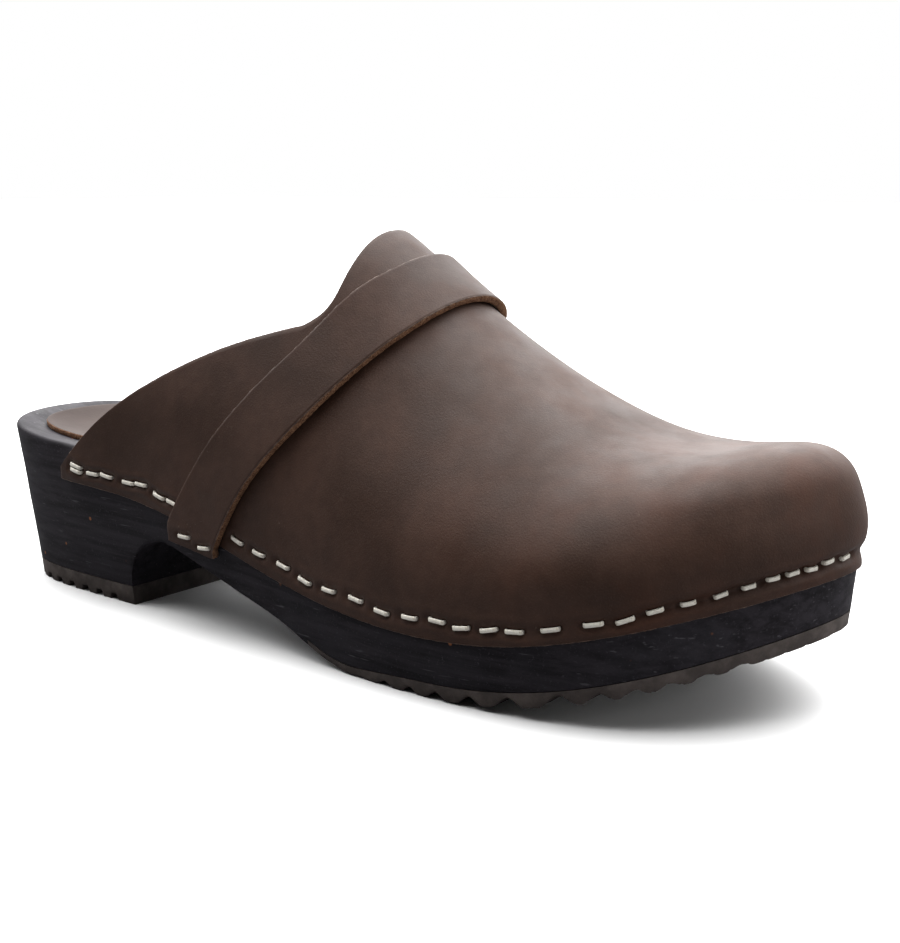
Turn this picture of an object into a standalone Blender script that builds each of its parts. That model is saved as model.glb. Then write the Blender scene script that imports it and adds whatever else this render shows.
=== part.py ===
"""Wooden clog for a right foot: a one-piece stained wooden sole with rubber treads and a leather
insole, a one-piece leather upper stapled round the sole's side, and an instep strap stapled over it.

+X points to the toe, +Y to the inner (medial) side and +Z up; the clog stands on Z = 0 with its
bounding box centred on the Z axis. Shapes are worked out in millimetres and made in metres.
"""

import math

import bmesh
import bpy
import numpy as np
from mathutils import Matrix, Vector

MM = 0.001
GAP = 0.3  # clearance between pieces that touch on the real clog

# ---- Driving dimensions, in millimetres ------------------------------------------------------

# Every shape is laid out from one shared point. This is where the clog's middle lies from it.
MIDDLE = np.array([-2.0, 0.0, 0.0])

# Plan outline of the wood at the height of the leather's lower edge, from the middle of the heel's
# back along the outer (lateral) side to the toe tip, and back along the inner side.
HEEL_BACK = (-143.3, -2.0)
TOE_TIP = (139.5, 5.0)
OUTER_SIDE = [(-134.6, -25.6), (-108.4, -35), (-48, -39), (17.6, -47.3), (72, -49.8), (115, -36)]
INNER_SIDE = [(124.3, 29.7), (67, 50.1), (12, 42.4), (-38, 31), (-98, 32.2), (-134.8, 25.6)]

# Side view, (x, z): what the clog stands on, the leather's lower edge and the wood's top rim.
UNDERSIDE = [
    (-53, 22.0), (-23, 13.6), (2, 6.7), (20, 0.7), (31, 0.0), (50, 0.0), (72, 1.7), (95, 6.2),
    (117, 12.6), (139.5, 20.6),
]
LEATHER_EDGE = [
    (-128, 38.2), (-98, 37.2), (-68, 34.8), (-38, 29.2), (-3, 21.4), (37, 16.6), (77, 18.8), (112, 27.4),
    (144, 37.4),
]
WOOD_RIM = [
    (-146, 52.4), (-118, 48.9), (-88, 46.4), (-48, 41.5), (-3, 34.5), (37, 29.5), (77, 31.5), (112, 39.5),
    (140, 47.5),
]

# Heel and wooden sole
HEEL_BREAST_X = -73.6  # the heel block's front face
BREAST_RADIUS = 19.0  # the hollow between the heel's front face and the waist, along the clog
BREAST_TOP_Z = 22.6
BREAST_POWER = 2.4  # 2 would make the hollow's section an ellipse; more makes it squarer
SIDE_DRAFT = 0.10  # how far the wood's side leans in, per millimetre down
BACK_DRAFT = 0.20
REBATE_DEPTH = 1.6  # the leather sits this deep in the wood's side
REBATE_RUN_OUT = 30.0  # the rebate rises to nothing over this length at its rear end
REBATE_REAR_ROOM = 4.0
LEDGE_RISE = 0.02  # the rebate's ledge rises this much inwards, so that it has faces where it runs out
PLUMB_RUN_IN = 25.0  # the wood's side stands plumb above the leather's edge from the leather's rear corner on
RIM_ROUND = 2.2
LINING_ROOM = 0.06  # how fast the leather and the wood part above the leather's edge
LINING_LEAD = 10.0  # the wood starts to follow the leather this far behind it
FOOTBED_SHARES = (0.7, 0.45, 0.15)  # where the footbed's mesh rings lie, as shares of the way out
RIM_SHARE = 0.96  # where the round ends, as a share of the way out from the footbed's middle
FOOTBED_DISH = 3.0
DISH_SHARES = (0.35, 0.95)  # the footbed rises between these shares of the way out to its rim
HEEL_CENTRE_ROOM = 36.0  # the footbed's middle line ends this far from the heel's back
TOE_CENTRE_ROOM = 48.0

# Rubber treads
HEEL_TREAD_THICK = 6.0
SOLE_TREAD_THICK = 4.2
SOLE_TREAD_START_X = 7.0
SKIVE_LENGTH = 45.0
SKIVED_THICK = 1.6
# Grooves across the treads: (middle x, half width, depth)
HEEL_GROOVE_FLAT = 0.7
HEEL_GROOVES = [(x, 1.9, 1.9) for x in (-128.5, -121.0, -113.5, -106.0, -98.5, -91.0, -83.5)]
SOLE_GROOVES = [
    (27.5, 3.0, 0.4), (36.5, 3.4, 1.3), (45.0, 3.2, 1.7), (53.7, 3.8, 2.0), (64.0, 4.3, 2.3), (75.2, 4.9, 2.7),
    (88.7, 5.4, 2.9), (98.5, 4.0, 2.2), (106.5, 3.5, 1.5), (113.7, 3.1, 1.2), (120.3, 2.8, 1.1),
    (126.4, 2.6, 1.0),
]

# Insole
INSOLE_THICK = 2.0
INSOLE_INSET = 10.0
INSOLE_LEAST_SHARE = 0.2

# Leather upper
LEATHER_THICK = 2.2
UPPER_REAR_X = -100.0
RIDGE = [
    (-100, 122), (-60, 125), (-28, 124), (0, 115.5), (17, 103.2), (35, 89.9), (65, 72.2), (85, 64.4),
    (104, 62.7), (118, 64.8),
]
RIDGE_Y = [(-100, 0.0), (0, 3.0), (118, 4.5)]
UPPER_SHARES = (0, 0.06, 0.13, 0.21, 0.31, 0.43, 0.57, 0.71, 0.85, 1)  # of the way up each mesh row
RIDGE_FRONT_X = 113.0  # where the middle line of the vamp turns down into the toe
FAN_START_X = 58.0  # from here on the cross-sections turn towards the toe
# The opening's rim, (x, z), and from there the edge of the tab, (z, x), up to its top.
QUARTER_EDGE = [(-100, 41.0), (-84, 56.0), (-58.5, 71.7), (-31.5, 82.7), (-7.5, 89.2)]
TAB_EDGE = [(89.2, -7.5), (91.5, -3.8), (95.0, -1.0), (101.0, 0.2), (108.0, 0.8), (115.3, 1.5)]
TAB_SPREAD = 33.0  # the mesh rows that end on the tab's edge start over this length of the leather's edge
SECTION_POWER = [(-100, 2.0), (0, 2.0), (60, 2.2), (100, 3.1), (125, 4.2), (142, 4.8)]
SECTION_PINCH = [(-100, 0.05), (0, 0.08), (50, 0.03), (100, 0.0), (142, 0.0)]
BULGE_TOP = 0.75  # the side's swell ends at this share of the section's height
BULGE = [(-100, 0.0), (-40, 0.8), (60, 1.4), (110, 1.4), (142, 1.0)]

# Instep strap. Its two edges are (turn, x): where each crosses the upper, from its edge to the ridge.
STRAP_THICK = 2.4
STRAP_GAP = 0.5
STRAP_REAR = [
    (0, -47.6), (0.15, -39.5), (0.4, -23.5), (0.65, -6.8), (0.93, 3.9), (1.25, 11.6), (math.pi / 2, 13.6),
]
STRAP_FRONT = [
    (0, -27.4), (0.21, -15.8), (0.45, 0.2), (0.64, 9.8), (0.86, 18.0), (1.11, 24.5), (math.pi / 2, 28.0),
]
STRAP_TAIL_REAR = 6.2  # how far its ends reach below the leather's edge
STRAP_TAIL_FRONT = 3.8
STRAP_TAIL_SWEEP = 2.0  # how far back the ends lean
STRAP_DRAW_IN = 0.15  # below this share of its end, the strap draws in to the wood

# Staples
STAPLE_CROWN = 5.2
STAPLE_WIRE = 1.3
STAPLE_THICK = 0.7
STAPLE_LEG = 7.5
LEG_LEAN = 0.15  # how far the legs draw in towards each other, per millimetre down
STAPLE_HEIGHT = 4.4  # the row's height above the leather's edge
STRAP_STAPLE_HEIGHT = -2.1
STAPLE_PROUD = 0.35  # between the leather and the underside of a crown
STRAP_STAPLE_PROUD = 0.4  # more, where the strap draws in to the wood
SLOT_CLEARANCE = 0.3
OUTER_STAPLES = [  # (x, height above the leather's edge)
    (-85.0, 4.0), (-78.9, 4.5), (-69.4, 4.5), (-63.6, 5.5), (-55.4, 4.5), (-49.4, 4.5), (-20.2, 4.5),
    (-10.8, 4.5), (-0.4, 5.0), (8.5, 4.0), (18.0, 4.5), (28.2, 5.0), (37.5, 4.0), (47.0, 4.5), (55.8, 5.0),
    (63.2, 4.0), (71.2, 4.0), (78.2, 3.6), (87.5, 3.6), (97.5, 3.6), (104.3, 3.2), (110.3, 4.0),
    (116.5, 4.0), (122.2, 4.0), (126.8, 4.2), (130.5, 4.6), (133.4, 4.4), (135.9, 4.0), (137.8, 4.6),
    (139.3, 4.0),
]
INNER_STAPLE_XS = (-92, -80, -68, -56, -18, -5, 8, 21, 34, 47, 60, 73, 86, 98, 109, 119, 127, 134)
INNER_STAPLES = [(x, STAPLE_HEIGHT) for x in INNER_STAPLE_XS]
STRAP_STAPLES = [-40.2, -31.2]
DOUBLED_STAPLE = -92.5  # two staples one above the other
DOUBLED_RISE = 1.4
DOUBLED_TILT = -12
STAPLE_TILTS = [1, -5, 3, 5, -7, -2, -6, 3, 0, -4, 5, -1, -3]


# ---- Curves -----------------------------------------------------------------------------------


class Spline:
    """A smooth cubic curve through points, natural at its ends or closed."""

    def __init__(self, points, closed=False, knots=None):
        points = np.array(points, float)
        if closed:
            points = np.vstack([points, points[:1]])
        steps = np.linalg.norm(np.diff(points, axis=0), axis=1) ** 0.75
        self.knots = np.concatenate([[0], np.cumsum(steps)]) if knots is None else np.array(knots, float)
        self.points = points
        self.bends = self._bends(np.diff(self.knots), points, closed)

    @staticmethod
    def _bends(h, p, closed):
        """The second derivative at each point."""
        n = len(p)
        matrix, right = np.eye(n), np.zeros_like(p)
        for i in range(1, n - 1):
            matrix[i, i - 1 : i + 2] = h[i - 1], 2 * (h[i - 1] + h[i]), h[i]
            right[i] = 6 * ((p[i + 1] - p[i]) / h[i] - (p[i] - p[i - 1]) / h[i - 1])
        if closed:
            matrix[0, 0], matrix[0, 1] = 2 * (h[-1] + h[0]), h[0]
            matrix[0, n - 2] = h[-1]
            right[0] = 6 * ((p[1] - p[0]) / h[0] - (p[0] - p[-2]) / h[-1])
            matrix[-1, 0] = -1
        return np.linalg.solve(matrix, right)

    def at(self, t):
        t = np.atleast_1d(t)
        i = np.clip(np.searchsorted(self.knots, t, side="right") - 1, 0, len(self.knots) - 2)
        h = (self.knots[i + 1] - self.knots[i])[:, None]
        b = (t - self.knots[i])[:, None] / h
        a = 1 - b
        return (
            a * self.points[i]
            + b * self.points[i + 1]
            + ((a**3 - a) * self.bends[i] + (b**3 - b) * self.bends[i + 1]) * h**2 / 6
        )


class Height:
    """A smooth height over x, through (x, z) points, level beyond them."""

    def __init__(self, points):
        curve = Spline(points, knots=[x for x, _ in points])
        dense = curve.at(np.linspace(curve.knots[0], curve.knots[-1], 400))
        self.x, self.z = dense[:, 0], dense[:, 1]

    def __call__(self, x):
        return float(np.interp(x, self.x, self.z))


def smooth_step(value, low, high):
    t = min(1.0, max(0.0, (value - low) / (high - low)))
    return t * t * (3 - 2 * t)


edge_z = Height(LEATHER_EDGE)
rim_z = Height(WOOD_RIM)
underside_z = Height(UNDERSIDE)
ridge_z = Height(RIDGE)
ridge_y = Height(RIDGE_Y)
quarter_z = Height(QUARTER_EDGE)
tab_x = Height(TAB_EDGE)
strap_rear_x = Height(STRAP_REAR + [(math.pi - turn, x) for turn, x in reversed(STRAP_REAR[:-1])])
strap_front_x = Height(STRAP_FRONT + [(math.pi - turn, x) for turn, x in reversed(STRAP_FRONT[:-1])])
section_power = Height(SECTION_POWER)
section_pinch = Height(SECTION_PINCH)
bulge_width = Height(BULGE)


class Outline:
    """The sole's plan outline, read by x on its outer (-1) or inner (+1) side."""

    def __init__(self):
        curve = Spline([HEEL_BACK, *OUTER_SIDE, TOE_TIP, *INNER_SIDE], closed=True)
        points = curve.at(np.linspace(0, curve.knots[-1], 4001)[:-1])
        rear, front = points[:, 0].argmin(), points[:, 0].argmax()
        self.rear_x, self.front_x = points[rear, 0], points[front, 0]
        points = np.roll(points, -rear, axis=0)
        front = (front - rear) % len(points)
        along = np.roll(points, -1, axis=0) - np.roll(points, 1, axis=0)
        normals = np.stack([along[:, 1], -along[:, 0]], -1)
        normals /= np.linalg.norm(normals, axis=1)[:, None]
        if normals[0, 0] > 0:
            normals = -normals
        self.sides = {
            -1: (points[: front + 1], normals[: front + 1]),
            1: (np.vstack([points[front:], points[:1]])[::-1], np.vstack([normals[front:], normals[:1]])[::-1]),
        }

    def at(self, side, x):
        """(point, outward normal) in plan."""
        points, normals = self.sides[side]
        place = [np.interp(x, points[:, 0], column) for column in points.T]
        normal = np.array([np.interp(x, points[:, 0], column) for column in normals.T])
        return np.array(place), normal / np.linalg.norm(normal)


outline = Outline()


def stations(low, high, count):
    """x values from low to high, crowded at the sole's two round ends."""
    turn = np.linspace(0, math.pi, count)
    even = outline.rear_x + (outline.front_x - outline.rear_x) * (1 - np.cos(turn)) / 2
    inside = [x for x in even if low + 0.4 < x < high - 0.4]
    return sorted({float(low), float(high), *inside})


def wall_point(side, x, z, proud=0.0):
    """A point on the wooden sole's leaning side wall, at height z, standing proud by that much."""
    place, normal = outline.at(side, x)
    back = max(0.0, -normal[0]) ** 2 if x < 0 else 0.0
    draft = SIDE_DRAFT + (BACK_DRAFT - SIDE_DRAFT) * back
    rise = z - edge_z(x)
    if rise > 0:
        rise *= 1 - smooth_step(x, UPPER_REAR_X - PLUMB_RUN_IN, UPPER_REAR_X)
    moved = place + normal * (draft * rise + proud)
    return np.array([moved[0], moved[1], z])


# ---- Meshes -----------------------------------------------------------------------------------

SHARP_ANGLE = math.radians(35)
MERGE_DISTANCE = 0.00001
BOX_FACES = [(0, 1, 3, 2), (4, 6, 7, 5), (0, 4, 5, 1), (2, 3, 7, 6), (0, 2, 6, 4), (1, 5, 7, 3)]


def new_material(name, colour, roughness, metallic=0.0):
    material = bpy.data.materials.new(name)
    material.use_nodes = True
    shader = material.node_tree.nodes["Principled BSDF"]
    shader.inputs["Base Color"].default_value = (*colour, 1)
    shader.inputs["Roughness"].default_value = roughness
    shader.inputs["Metallic"].default_value = metallic
    return material


def new_object(name, points, faces, material, collection):
    """An object with its origin at the middle of its box, from points in millimetres."""
    points = (np.array(points, float) - MIDDLE) * MM
    middle = (points.min(axis=0) + points.max(axis=0)) / 2
    mesh = bpy.data.meshes.new(name)
    mesh.from_pydata([tuple(p) for p in points - middle], [], faces)
    work = bmesh.new()
    work.from_mesh(mesh)
    bmesh.ops.remove_doubles(work, verts=work.verts, dist=MERGE_DISTANCE)
    bmesh.ops.recalc_face_normals(work, faces=work.faces)
    work.to_mesh(mesh)
    work.free()
    mesh.shade_smooth()
    mesh.set_sharp_from_angle(angle=SHARP_ANGLE)
    mesh.materials.append(material)
    made = bpy.data.objects.new(name, mesh)
    made.location = middle
    collection.objects.link(made)
    return made


def loft(rings, closed=True):
    """(points, quads) joining rings of equally many points."""
    count = len(rings[0])
    points = [p for ring in rings for p in ring]
    faces = []
    for r in range(len(rings) - 1):
        for i in range(count if closed else count - 1):
            j = (i + 1) % count
            faces.append((r * count + i, r * count + j, (r + 1) * count + j, (r + 1) * count + i))
    return points, faces


def cross_strips(first, count):
    """Faces across a ring that runs out on one side and back on the other, ends included."""
    faces = []
    for i in range(count // 2):
        a, b = first + i, first + i + 1
        c, d = first + (count - i - 1) % count, first + (count - i) % count
        faces.append(tuple(dict.fromkeys([a, b, c, d])))
    return faces


def clear_of(xs, others, distance=1.0):
    """The x values that lie no nearer than that to any of the others."""
    return [x for x in xs if all(abs(x - other) > distance for other in others)]


def ring_stations(xs):
    """(side, x) round the sole: out along the outer side and back along the inner one."""
    return [(-1, x) for x in xs] + [(1, x) for x in reversed(xs[1:-1])]


# ---- Wooden sole ------------------------------------------------------------------------------


def tread_thickness(x):
    """The rubber's thickness under x: none under the waist, skived thin where the forepart's tread starts."""
    if x < HEEL_BREAST_X + 0.01:
        return HEEL_TREAD_THICK
    if x < SOLE_TREAD_START_X - 0.01:
        return 0.0
    return SKIVED_THICK + (SOLE_TREAD_THICK - SKIVED_THICK) * smooth_step(
        x, SOLE_TREAD_START_X, SOLE_TREAD_START_X + SKIVE_LENGTH
    )


def wood_bottom_z(x):
    """The wood's underside: the heel block's foot, the hollow at its front, the waist and the forepart."""
    if x <= HEEL_BREAST_X:
        return HEEL_TREAD_THICK
    if x < HEEL_BREAST_X + BREAST_RADIUS:
        across = (HEEL_BREAST_X + BREAST_RADIUS - x) / BREAST_RADIUS
        rise = math.sqrt(max(0.0, 1 - across**BREAST_POWER))
        return HEEL_TREAD_THICK + (BREAST_TOP_Z - HEEL_TREAD_THICK) * rise
    return underside_z(x) + tread_thickness(x)


def lining_point(side, x, z):
    """A point of the wood's side under the leather, following the leather's inner face."""
    foot = wall_point(side, x, edge_z(x))
    under = smooth_step(x, UPPER_REAR_X - LINING_LEAD, UPPER_REAR_X)
    if not under:
        return wall_point(side, x, z)
    outer = upper_point(side, x, turn_at(x, z))
    normal = outline.at(side, x)[1]
    room = LEATHER_THICK + GAP + LINING_ROOM * (z - foot[2])
    inner = outer[:2] - normal * room
    own = wall_point(side, x, z, -rebate_at(x))[:2]
    place = own + (inner - own) * under
    return np.array([place[0], place[1], z])


def rebate_at(x):
    """The rebate runs out towards the leather's rear corner."""
    start = UPPER_REAR_X + REBATE_REAR_ROOM
    return REBATE_DEPTH * smooth_step(x, start, start + REBATE_RUN_OUT)


def footbed_point(side, x, share, lift=0.0):
    """A point on the wood's dished top. share is 1 at the rim and 0 on the middle line."""
    rim = lining_point(side, x, rim_z(x))
    middle_x = min(max(x, outline.rear_x + HEEL_CENTRE_ROOM), outline.front_x - TOE_CENTRE_ROOM)
    outer, inner = outline.at(-1, middle_x)[0], outline.at(1, middle_x)[0]
    middle = np.array([middle_x, (outer[1] + inner[1]) / 2])
    place = middle + (rim[:2] - middle) * share
    dish = FOOTBED_DISH * (1 - smooth_step(share, *DISH_SHARES))
    return np.array([place[0], place[1], rim_z(place[0]) - dish + lift])


def make_wooden_sole(material, collection):
    """The block, as rings of points from its foot up the side, over the rim and in over the footbed."""
    breast = [HEEL_BREAST_X + BREAST_RADIUS * (1 - math.cos(a)) for a in np.linspace(0, math.pi / 2, 7)]
    tread_start = [SOLE_TREAD_START_X - 0.3, SOLE_TREAD_START_X]
    leather = [x for x in upper_stations() if x not in (UPPER_REAR_X, outline.front_x)]
    near_rear = [x for x in stations(outline.rear_x, outline.front_x, 44) if x < UPPER_REAR_X - 3]
    fixed = [UPPER_REAR_X, outline.front_x, *tread_start, *breast]
    xs = sorted({*near_rear, *fixed, *clear_of(leather, tread_start)})
    ring = ring_stations(xs)

    def level(z_of_x, inset=0.0):
        return [wall_point(side, x, z_of_x(x), -inset) for side, x in ring]

    def lining(drop):
        return [lining_point(side, x, rim_z(x) - drop) for side, x in ring]

    rings = [
        level(wood_bottom_z),
        level(lambda x: edge_z(x) - GAP),
        [wall_point(side, x, edge_z(x) - GAP + LEDGE_RISE, -rebate_at(x)) for side, x in ring],
        [lining_point(side, x, (edge_z(x) + rim_z(x)) / 2) for side, x in ring],
        lining(RIM_ROUND),
    ]
    for share in (RIM_SHARE, *FOOTBED_SHARES):
        rings.append([footbed_point(side, x, share) for side, x in ring])
    points, faces = loft(rings)
    faces += cross_strips(0, len(ring))
    faces += cross_strips(len(points) - len(ring), len(ring))
    return new_object("wooden_sole", points, faces, material, collection)


# ---- Treads and insole ------------------------------------------------------------------------


def groove_depth(x, grooves, sharp):
    """How far the tread's underside is cut away at x. sharp is the share of a groove that is its flat top."""
    middle, half, depth = min(grooves, key=lambda groove: abs(x - groove[0]))
    return depth * (1 - smooth_step(abs(x - middle), half * sharp, half))


def groove_stations(grooves, shares):
    """The x values of each groove's edges, and of the shares of its half width in between."""
    signed = [side * share for share in shares for side in (-1, 1)]
    return sorted({middle + half * share for middle, half, _ in grooves for share in signed})


def make_tread(name, low, high, floor_z, stations_x, material, collection):
    """A grooved rubber tread between two x values, under the wood's underside."""
    xs = sorted({low, high, *(x for x in stations_x if low < x < high)})
    square_rear = low > outline.rear_x + 1
    square_front = high < outline.front_x - 1
    inner = [(1, x) for x in reversed(xs[0 if square_rear else 1 : None if square_front else -1])]
    ring = [(-1, x) for x in xs] + inner
    lower = [wall_point(side, x, floor_z(x)) for side, x in ring]
    upper = [wall_point(side, x, wood_bottom_z(x) - GAP) for side, x in ring]
    points, faces = loft([lower, upper])
    for first in (0, len(ring)):
        faces += tread_strips(first, len(xs), len(ring), square_rear)
    return new_object(name, points, faces, material, collection)


def make_heel_tread(material, collection):
    ends = [x for x in stations(outline.rear_x, HEEL_BREAST_X, 46) if x < HEEL_GROOVES[0][0] - 3]
    xs = ends + groove_stations(HEEL_GROOVES, (HEEL_GROOVE_FLAT, 1))

    def floor(x):
        return groove_depth(x, HEEL_GROOVES, HEEL_GROOVE_FLAT)

    return make_tread("heel_tread", outline.rear_x, HEEL_BREAST_X, floor, xs, material, collection)


def make_sole_tread(material, collection):
    grooves = groove_stations(SOLE_GROOVES, (0, 0.5, 1))
    ends = [x for x in stations(SOLE_TREAD_START_X, outline.front_x, 40) if not grooves[0] < x < grooves[-1]]
    xs = clear_of(ends, grooves) + grooves

    def floor(x):
        return max(0.0, underside_z(x)) + groove_depth(x, SOLE_GROOVES, 0)

    return make_tread("sole_tread", SOLE_TREAD_START_X, outline.front_x, floor, xs, material, collection)


def tread_strips(first, outer_count, count, square_rear):
    """Faces across a tread's ring, between the outer side's points and the inner side's."""
    shift = 1 if square_rear else 0
    faces = []
    for i in range(outer_count - 1):
        a, b = first + i, first + i + 1
        c = first + (count - i - 1 - shift) % count
        d = first + (count - i - shift) % count
        faces.append(tuple(dict.fromkeys([a, b, c, d])))
    return faces


def make_insole(material, collection):
    """A sheet that follows the footbed, set in from its rim."""
    xs = stations(outline.rear_x, outline.front_x, 30)
    ring = ring_stations(xs)

    def edge_share(side, x):
        rim = lining_point(side, x, rim_z(x))
        middle = footbed_point(side, x, 0.0)
        reach = np.linalg.norm((rim - middle)[:2])
        return max(INSOLE_LEAST_SHARE, 1 - INSOLE_INSET / reach)

    def level(lift, scale):
        return [footbed_point(side, x, edge_share(side, x) * scale, lift) for side, x in ring]

    low, high = GAP, GAP + INSOLE_THICK
    rings = [level(low, scale) for scale in (0.2, 0.6, 1)] + [level(high, scale) for scale in (1, 0.6, 0.2)]
    points, faces = loft(rings)
    faces += cross_strips(0, len(ring))
    faces += cross_strips(len(points) - len(ring), len(ring))
    return new_object("insole", points, faces, material, collection)


# ---- Upper ------------------------------------------------------------------------------------


def proud_at(x):
    """How far the leather's outer face stands out from the wood's side."""
    return GAP + LEATHER_THICK - rebate_at(x)


def ridge_x(x):
    """Where the cross-section that starts at x on the edge meets the middle line."""
    if x < FAN_START_X:
        return x
    span = outline.front_x - FAN_START_X
    share = (x - FAN_START_X) / span
    lost = 1 - (RIDGE_FRONT_X - FAN_START_X) / span
    return FAN_START_X + span * (share - lost * share**2)


def upper_point(side, x, turn):
    """A point on the upper's outer face. turn runs from 0 at the edge to pi/2 on the middle line."""
    foot = wall_point(side, x, edge_z(x), proud_at(x))
    top_x = ridge_x(x)
    top = np.array([top_x, ridge_y(top_x), ridge_z(top_x)])
    span = foot[:2] - top[:2]
    reach = np.linalg.norm(span)
    way = span / reach
    power = 2 / section_power(x)
    out = math.cos(turn) ** power if turn < math.pi / 2 - 1e-9 else 0.0
    up = math.sin(turn) ** power
    out -= section_pinch(x) * math.sin(2 * turn) ** 2
    swell = bulge_width(x) * math.sin(math.pi * min(1.0, up / BULGE_TOP)) ** 2
    slope = (ridge_z(top_x + 1) - ridge_z(top_x - 1)) / 2 * way[0]
    z = foot[2] + (top[2] - foot[2]) * up + slope * reach * out * (1 - out**2) * up
    place = top[:2] + way * (reach * out + swell)
    return np.array([place[0], place[1], z])


def turn_at(x, z):
    """The turn at which the cross-section that starts at x reaches the height z."""
    low = edge_z(x)
    share = min(1.0, (z - low) / (ridge_z(ridge_x(x)) - low))
    return math.asin(share ** (section_power(x) / 2))


def row_end(x):
    """(x, turn) where the mesh row that starts at x on the leather's edge ends: on the opening or the ridge."""
    corner, (tab_top_z, tab_top_x) = QUARTER_EDGE[-1][0], TAB_EDGE[-1]
    if x <= corner:
        return x, turn_at(x, quarter_z(x))
    if x < corner + TAB_SPREAD:
        z = TAB_EDGE[0][0] + (tab_top_z - TAB_EDGE[0][0]) * (x - corner) / TAB_SPREAD
        return tab_x(z), turn_at(tab_x(z), z)
    lean = corner + TAB_SPREAD - tab_top_x
    return x - lean * (1 - smooth_step(x, corner + TAB_SPREAD, corner + 3 * TAB_SPREAD)), math.pi / 2


def upper_frame(side, x, turn):
    """(point, outward normal, forward tangent) on the upper's outer face."""
    low, high = max(0.0, turn - 0.02), min(math.pi / 2, turn + 0.02)
    rear, front = x - 0.5, min(x + 0.5, outline.front_x)
    along = upper_point(side, front, turn) - upper_point(side, rear, turn)
    up = upper_point(side, x, high) - upper_point(side, x, low)
    normal = np.cross(along, up) if side < 0 else np.cross(up, along)
    along /= np.linalg.norm(along)
    return upper_point(side, x, turn), normal / np.linalg.norm(normal), along


def make_upper(material, cutters, collection):
    """Rows of points up the outer side to the opening or the ridge, and down the inner side."""
    xs = upper_stations()
    rows = []
    for side, x in [(-1, x) for x in xs] + [(1, x) for x in reversed(xs[:-1])]:
        end_x, turn = row_end(x)
        rows.append([upper_point(side, x + (end_x - x) * share, turn * share) for share in UPPER_SHARES])
    points, faces = loft(rows, closed=False)
    made = new_object("upper", points, faces, material, collection)
    thicken(made, LEATHER_THICK, -1)
    cut(made, cutters)
    return made


def upper_stations():
    """The x values on the leather's edge where the mesh rows start."""
    corner = QUARTER_EDGE[-1][0]
    rear = np.linspace(UPPER_REAR_X, corner, 11)
    tab = np.linspace(corner, corner + TAB_SPREAD, 9)[1:]
    front = stations(corner + TAB_SPREAD + 3, outline.front_x, 38)
    return [*rear, *tab, *front]


def thicken(made, thickness, side):
    """Gives an open sheet its thickness, inwards (-1) or outwards (1) from itself."""
    solid = made.modifiers.new("Thickness", "SOLIDIFY")
    solid.thickness = thickness * MM
    solid.offset = side
    solid.use_even_offset = True


def cut(made, cutters):
    """Cuts every cutter of a collection out of a piece."""
    boolean = made.modifiers.new("Staple slots", "BOOLEAN")
    boolean.operation = "DIFFERENCE"
    boolean.solver = "EXACT"
    boolean.operand_type = "COLLECTION"
    boolean.collection = cutters


# ---- Instep strap -----------------------------------------------------------------------------


def strap_tail(across):
    """How far the strap's end reaches below the leather's edge."""
    return STRAP_TAIL_REAR + (STRAP_TAIL_FRONT - STRAP_TAIL_REAR) * across


def strap_point(side, across, turn):
    """A point on the strap's inner face. Below the upper's edge turn is negative, down to -1 at its end."""
    rear, front = strap_rear_x(max(turn, 0.0)), strap_front_x(max(turn, 0.0))
    x = rear + (front - rear) * across
    if turn >= 0:
        place, normal, _ = upper_frame(side, x, turn)
        return place + normal * STRAP_GAP
    x += STRAP_TAIL_SWEEP * turn
    proud = proud_at(x) + STRAP_GAP
    proud += (STRAP_GAP - proud) * smooth_step(-turn, STRAP_DRAW_IN, 1.0)
    return wall_point(side, x, edge_z(x) + strap_tail(across) * turn, proud)


def make_strap(material, cutters, collection):
    """Rows of points across the strap, from its outer end over the ridge to its inner end."""
    turns = [-1, -0.66, -0.33, *np.linspace(0, math.pi / 2, 14)]
    path = [(-1, turn) for turn in turns] + [(1, turn) for turn in reversed(turns[:-1])]
    rows = [[strap_point(side, across, turn) for across in np.linspace(0, 1, 5)] for side, turn in path]
    points, faces = loft(rows, closed=False)
    faces = [tuple(reversed(face)) for face in faces]
    made = new_object("instep_strap", points, faces, material, collection)
    thicken(made, STRAP_THICK, 1)
    cut(made, cutters)
    return made


# ---- Staples ----------------------------------------------------------------------------------


def staple_frame(side, x, height, tilt, through_strap=False):
    """Where a staple's crown lies: its axes are along the crown, across it and out of the leather."""
    if through_strap:
        across = (x - strap_rear_x(0.0)) / (strap_front_x(0.0) - strap_rear_x(0.0))
        turn = height / strap_tail(across)
        place = strap_point(side, across, turn)
        out = np.append(outline.at(side, x)[1], 0.0)
        along = np.cross((0, 0, 1), out) * -side
        place = place + out * (STRAP_THICK + STRAP_STAPLE_PROUD)
    else:
        place, out, along = upper_frame(side, x, turn_at(x, edge_z(x) + height))
    up = np.cross(out, along)
    angle = math.radians(tilt)
    crown = along * math.cos(angle) + up * math.sin(angle)
    width = np.cross(out, crown)
    axes = Matrix((crown, width, out)).transposed().to_4x4()
    axes.translation = Vector((place - MIDDLE) * MM)
    return axes


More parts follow.
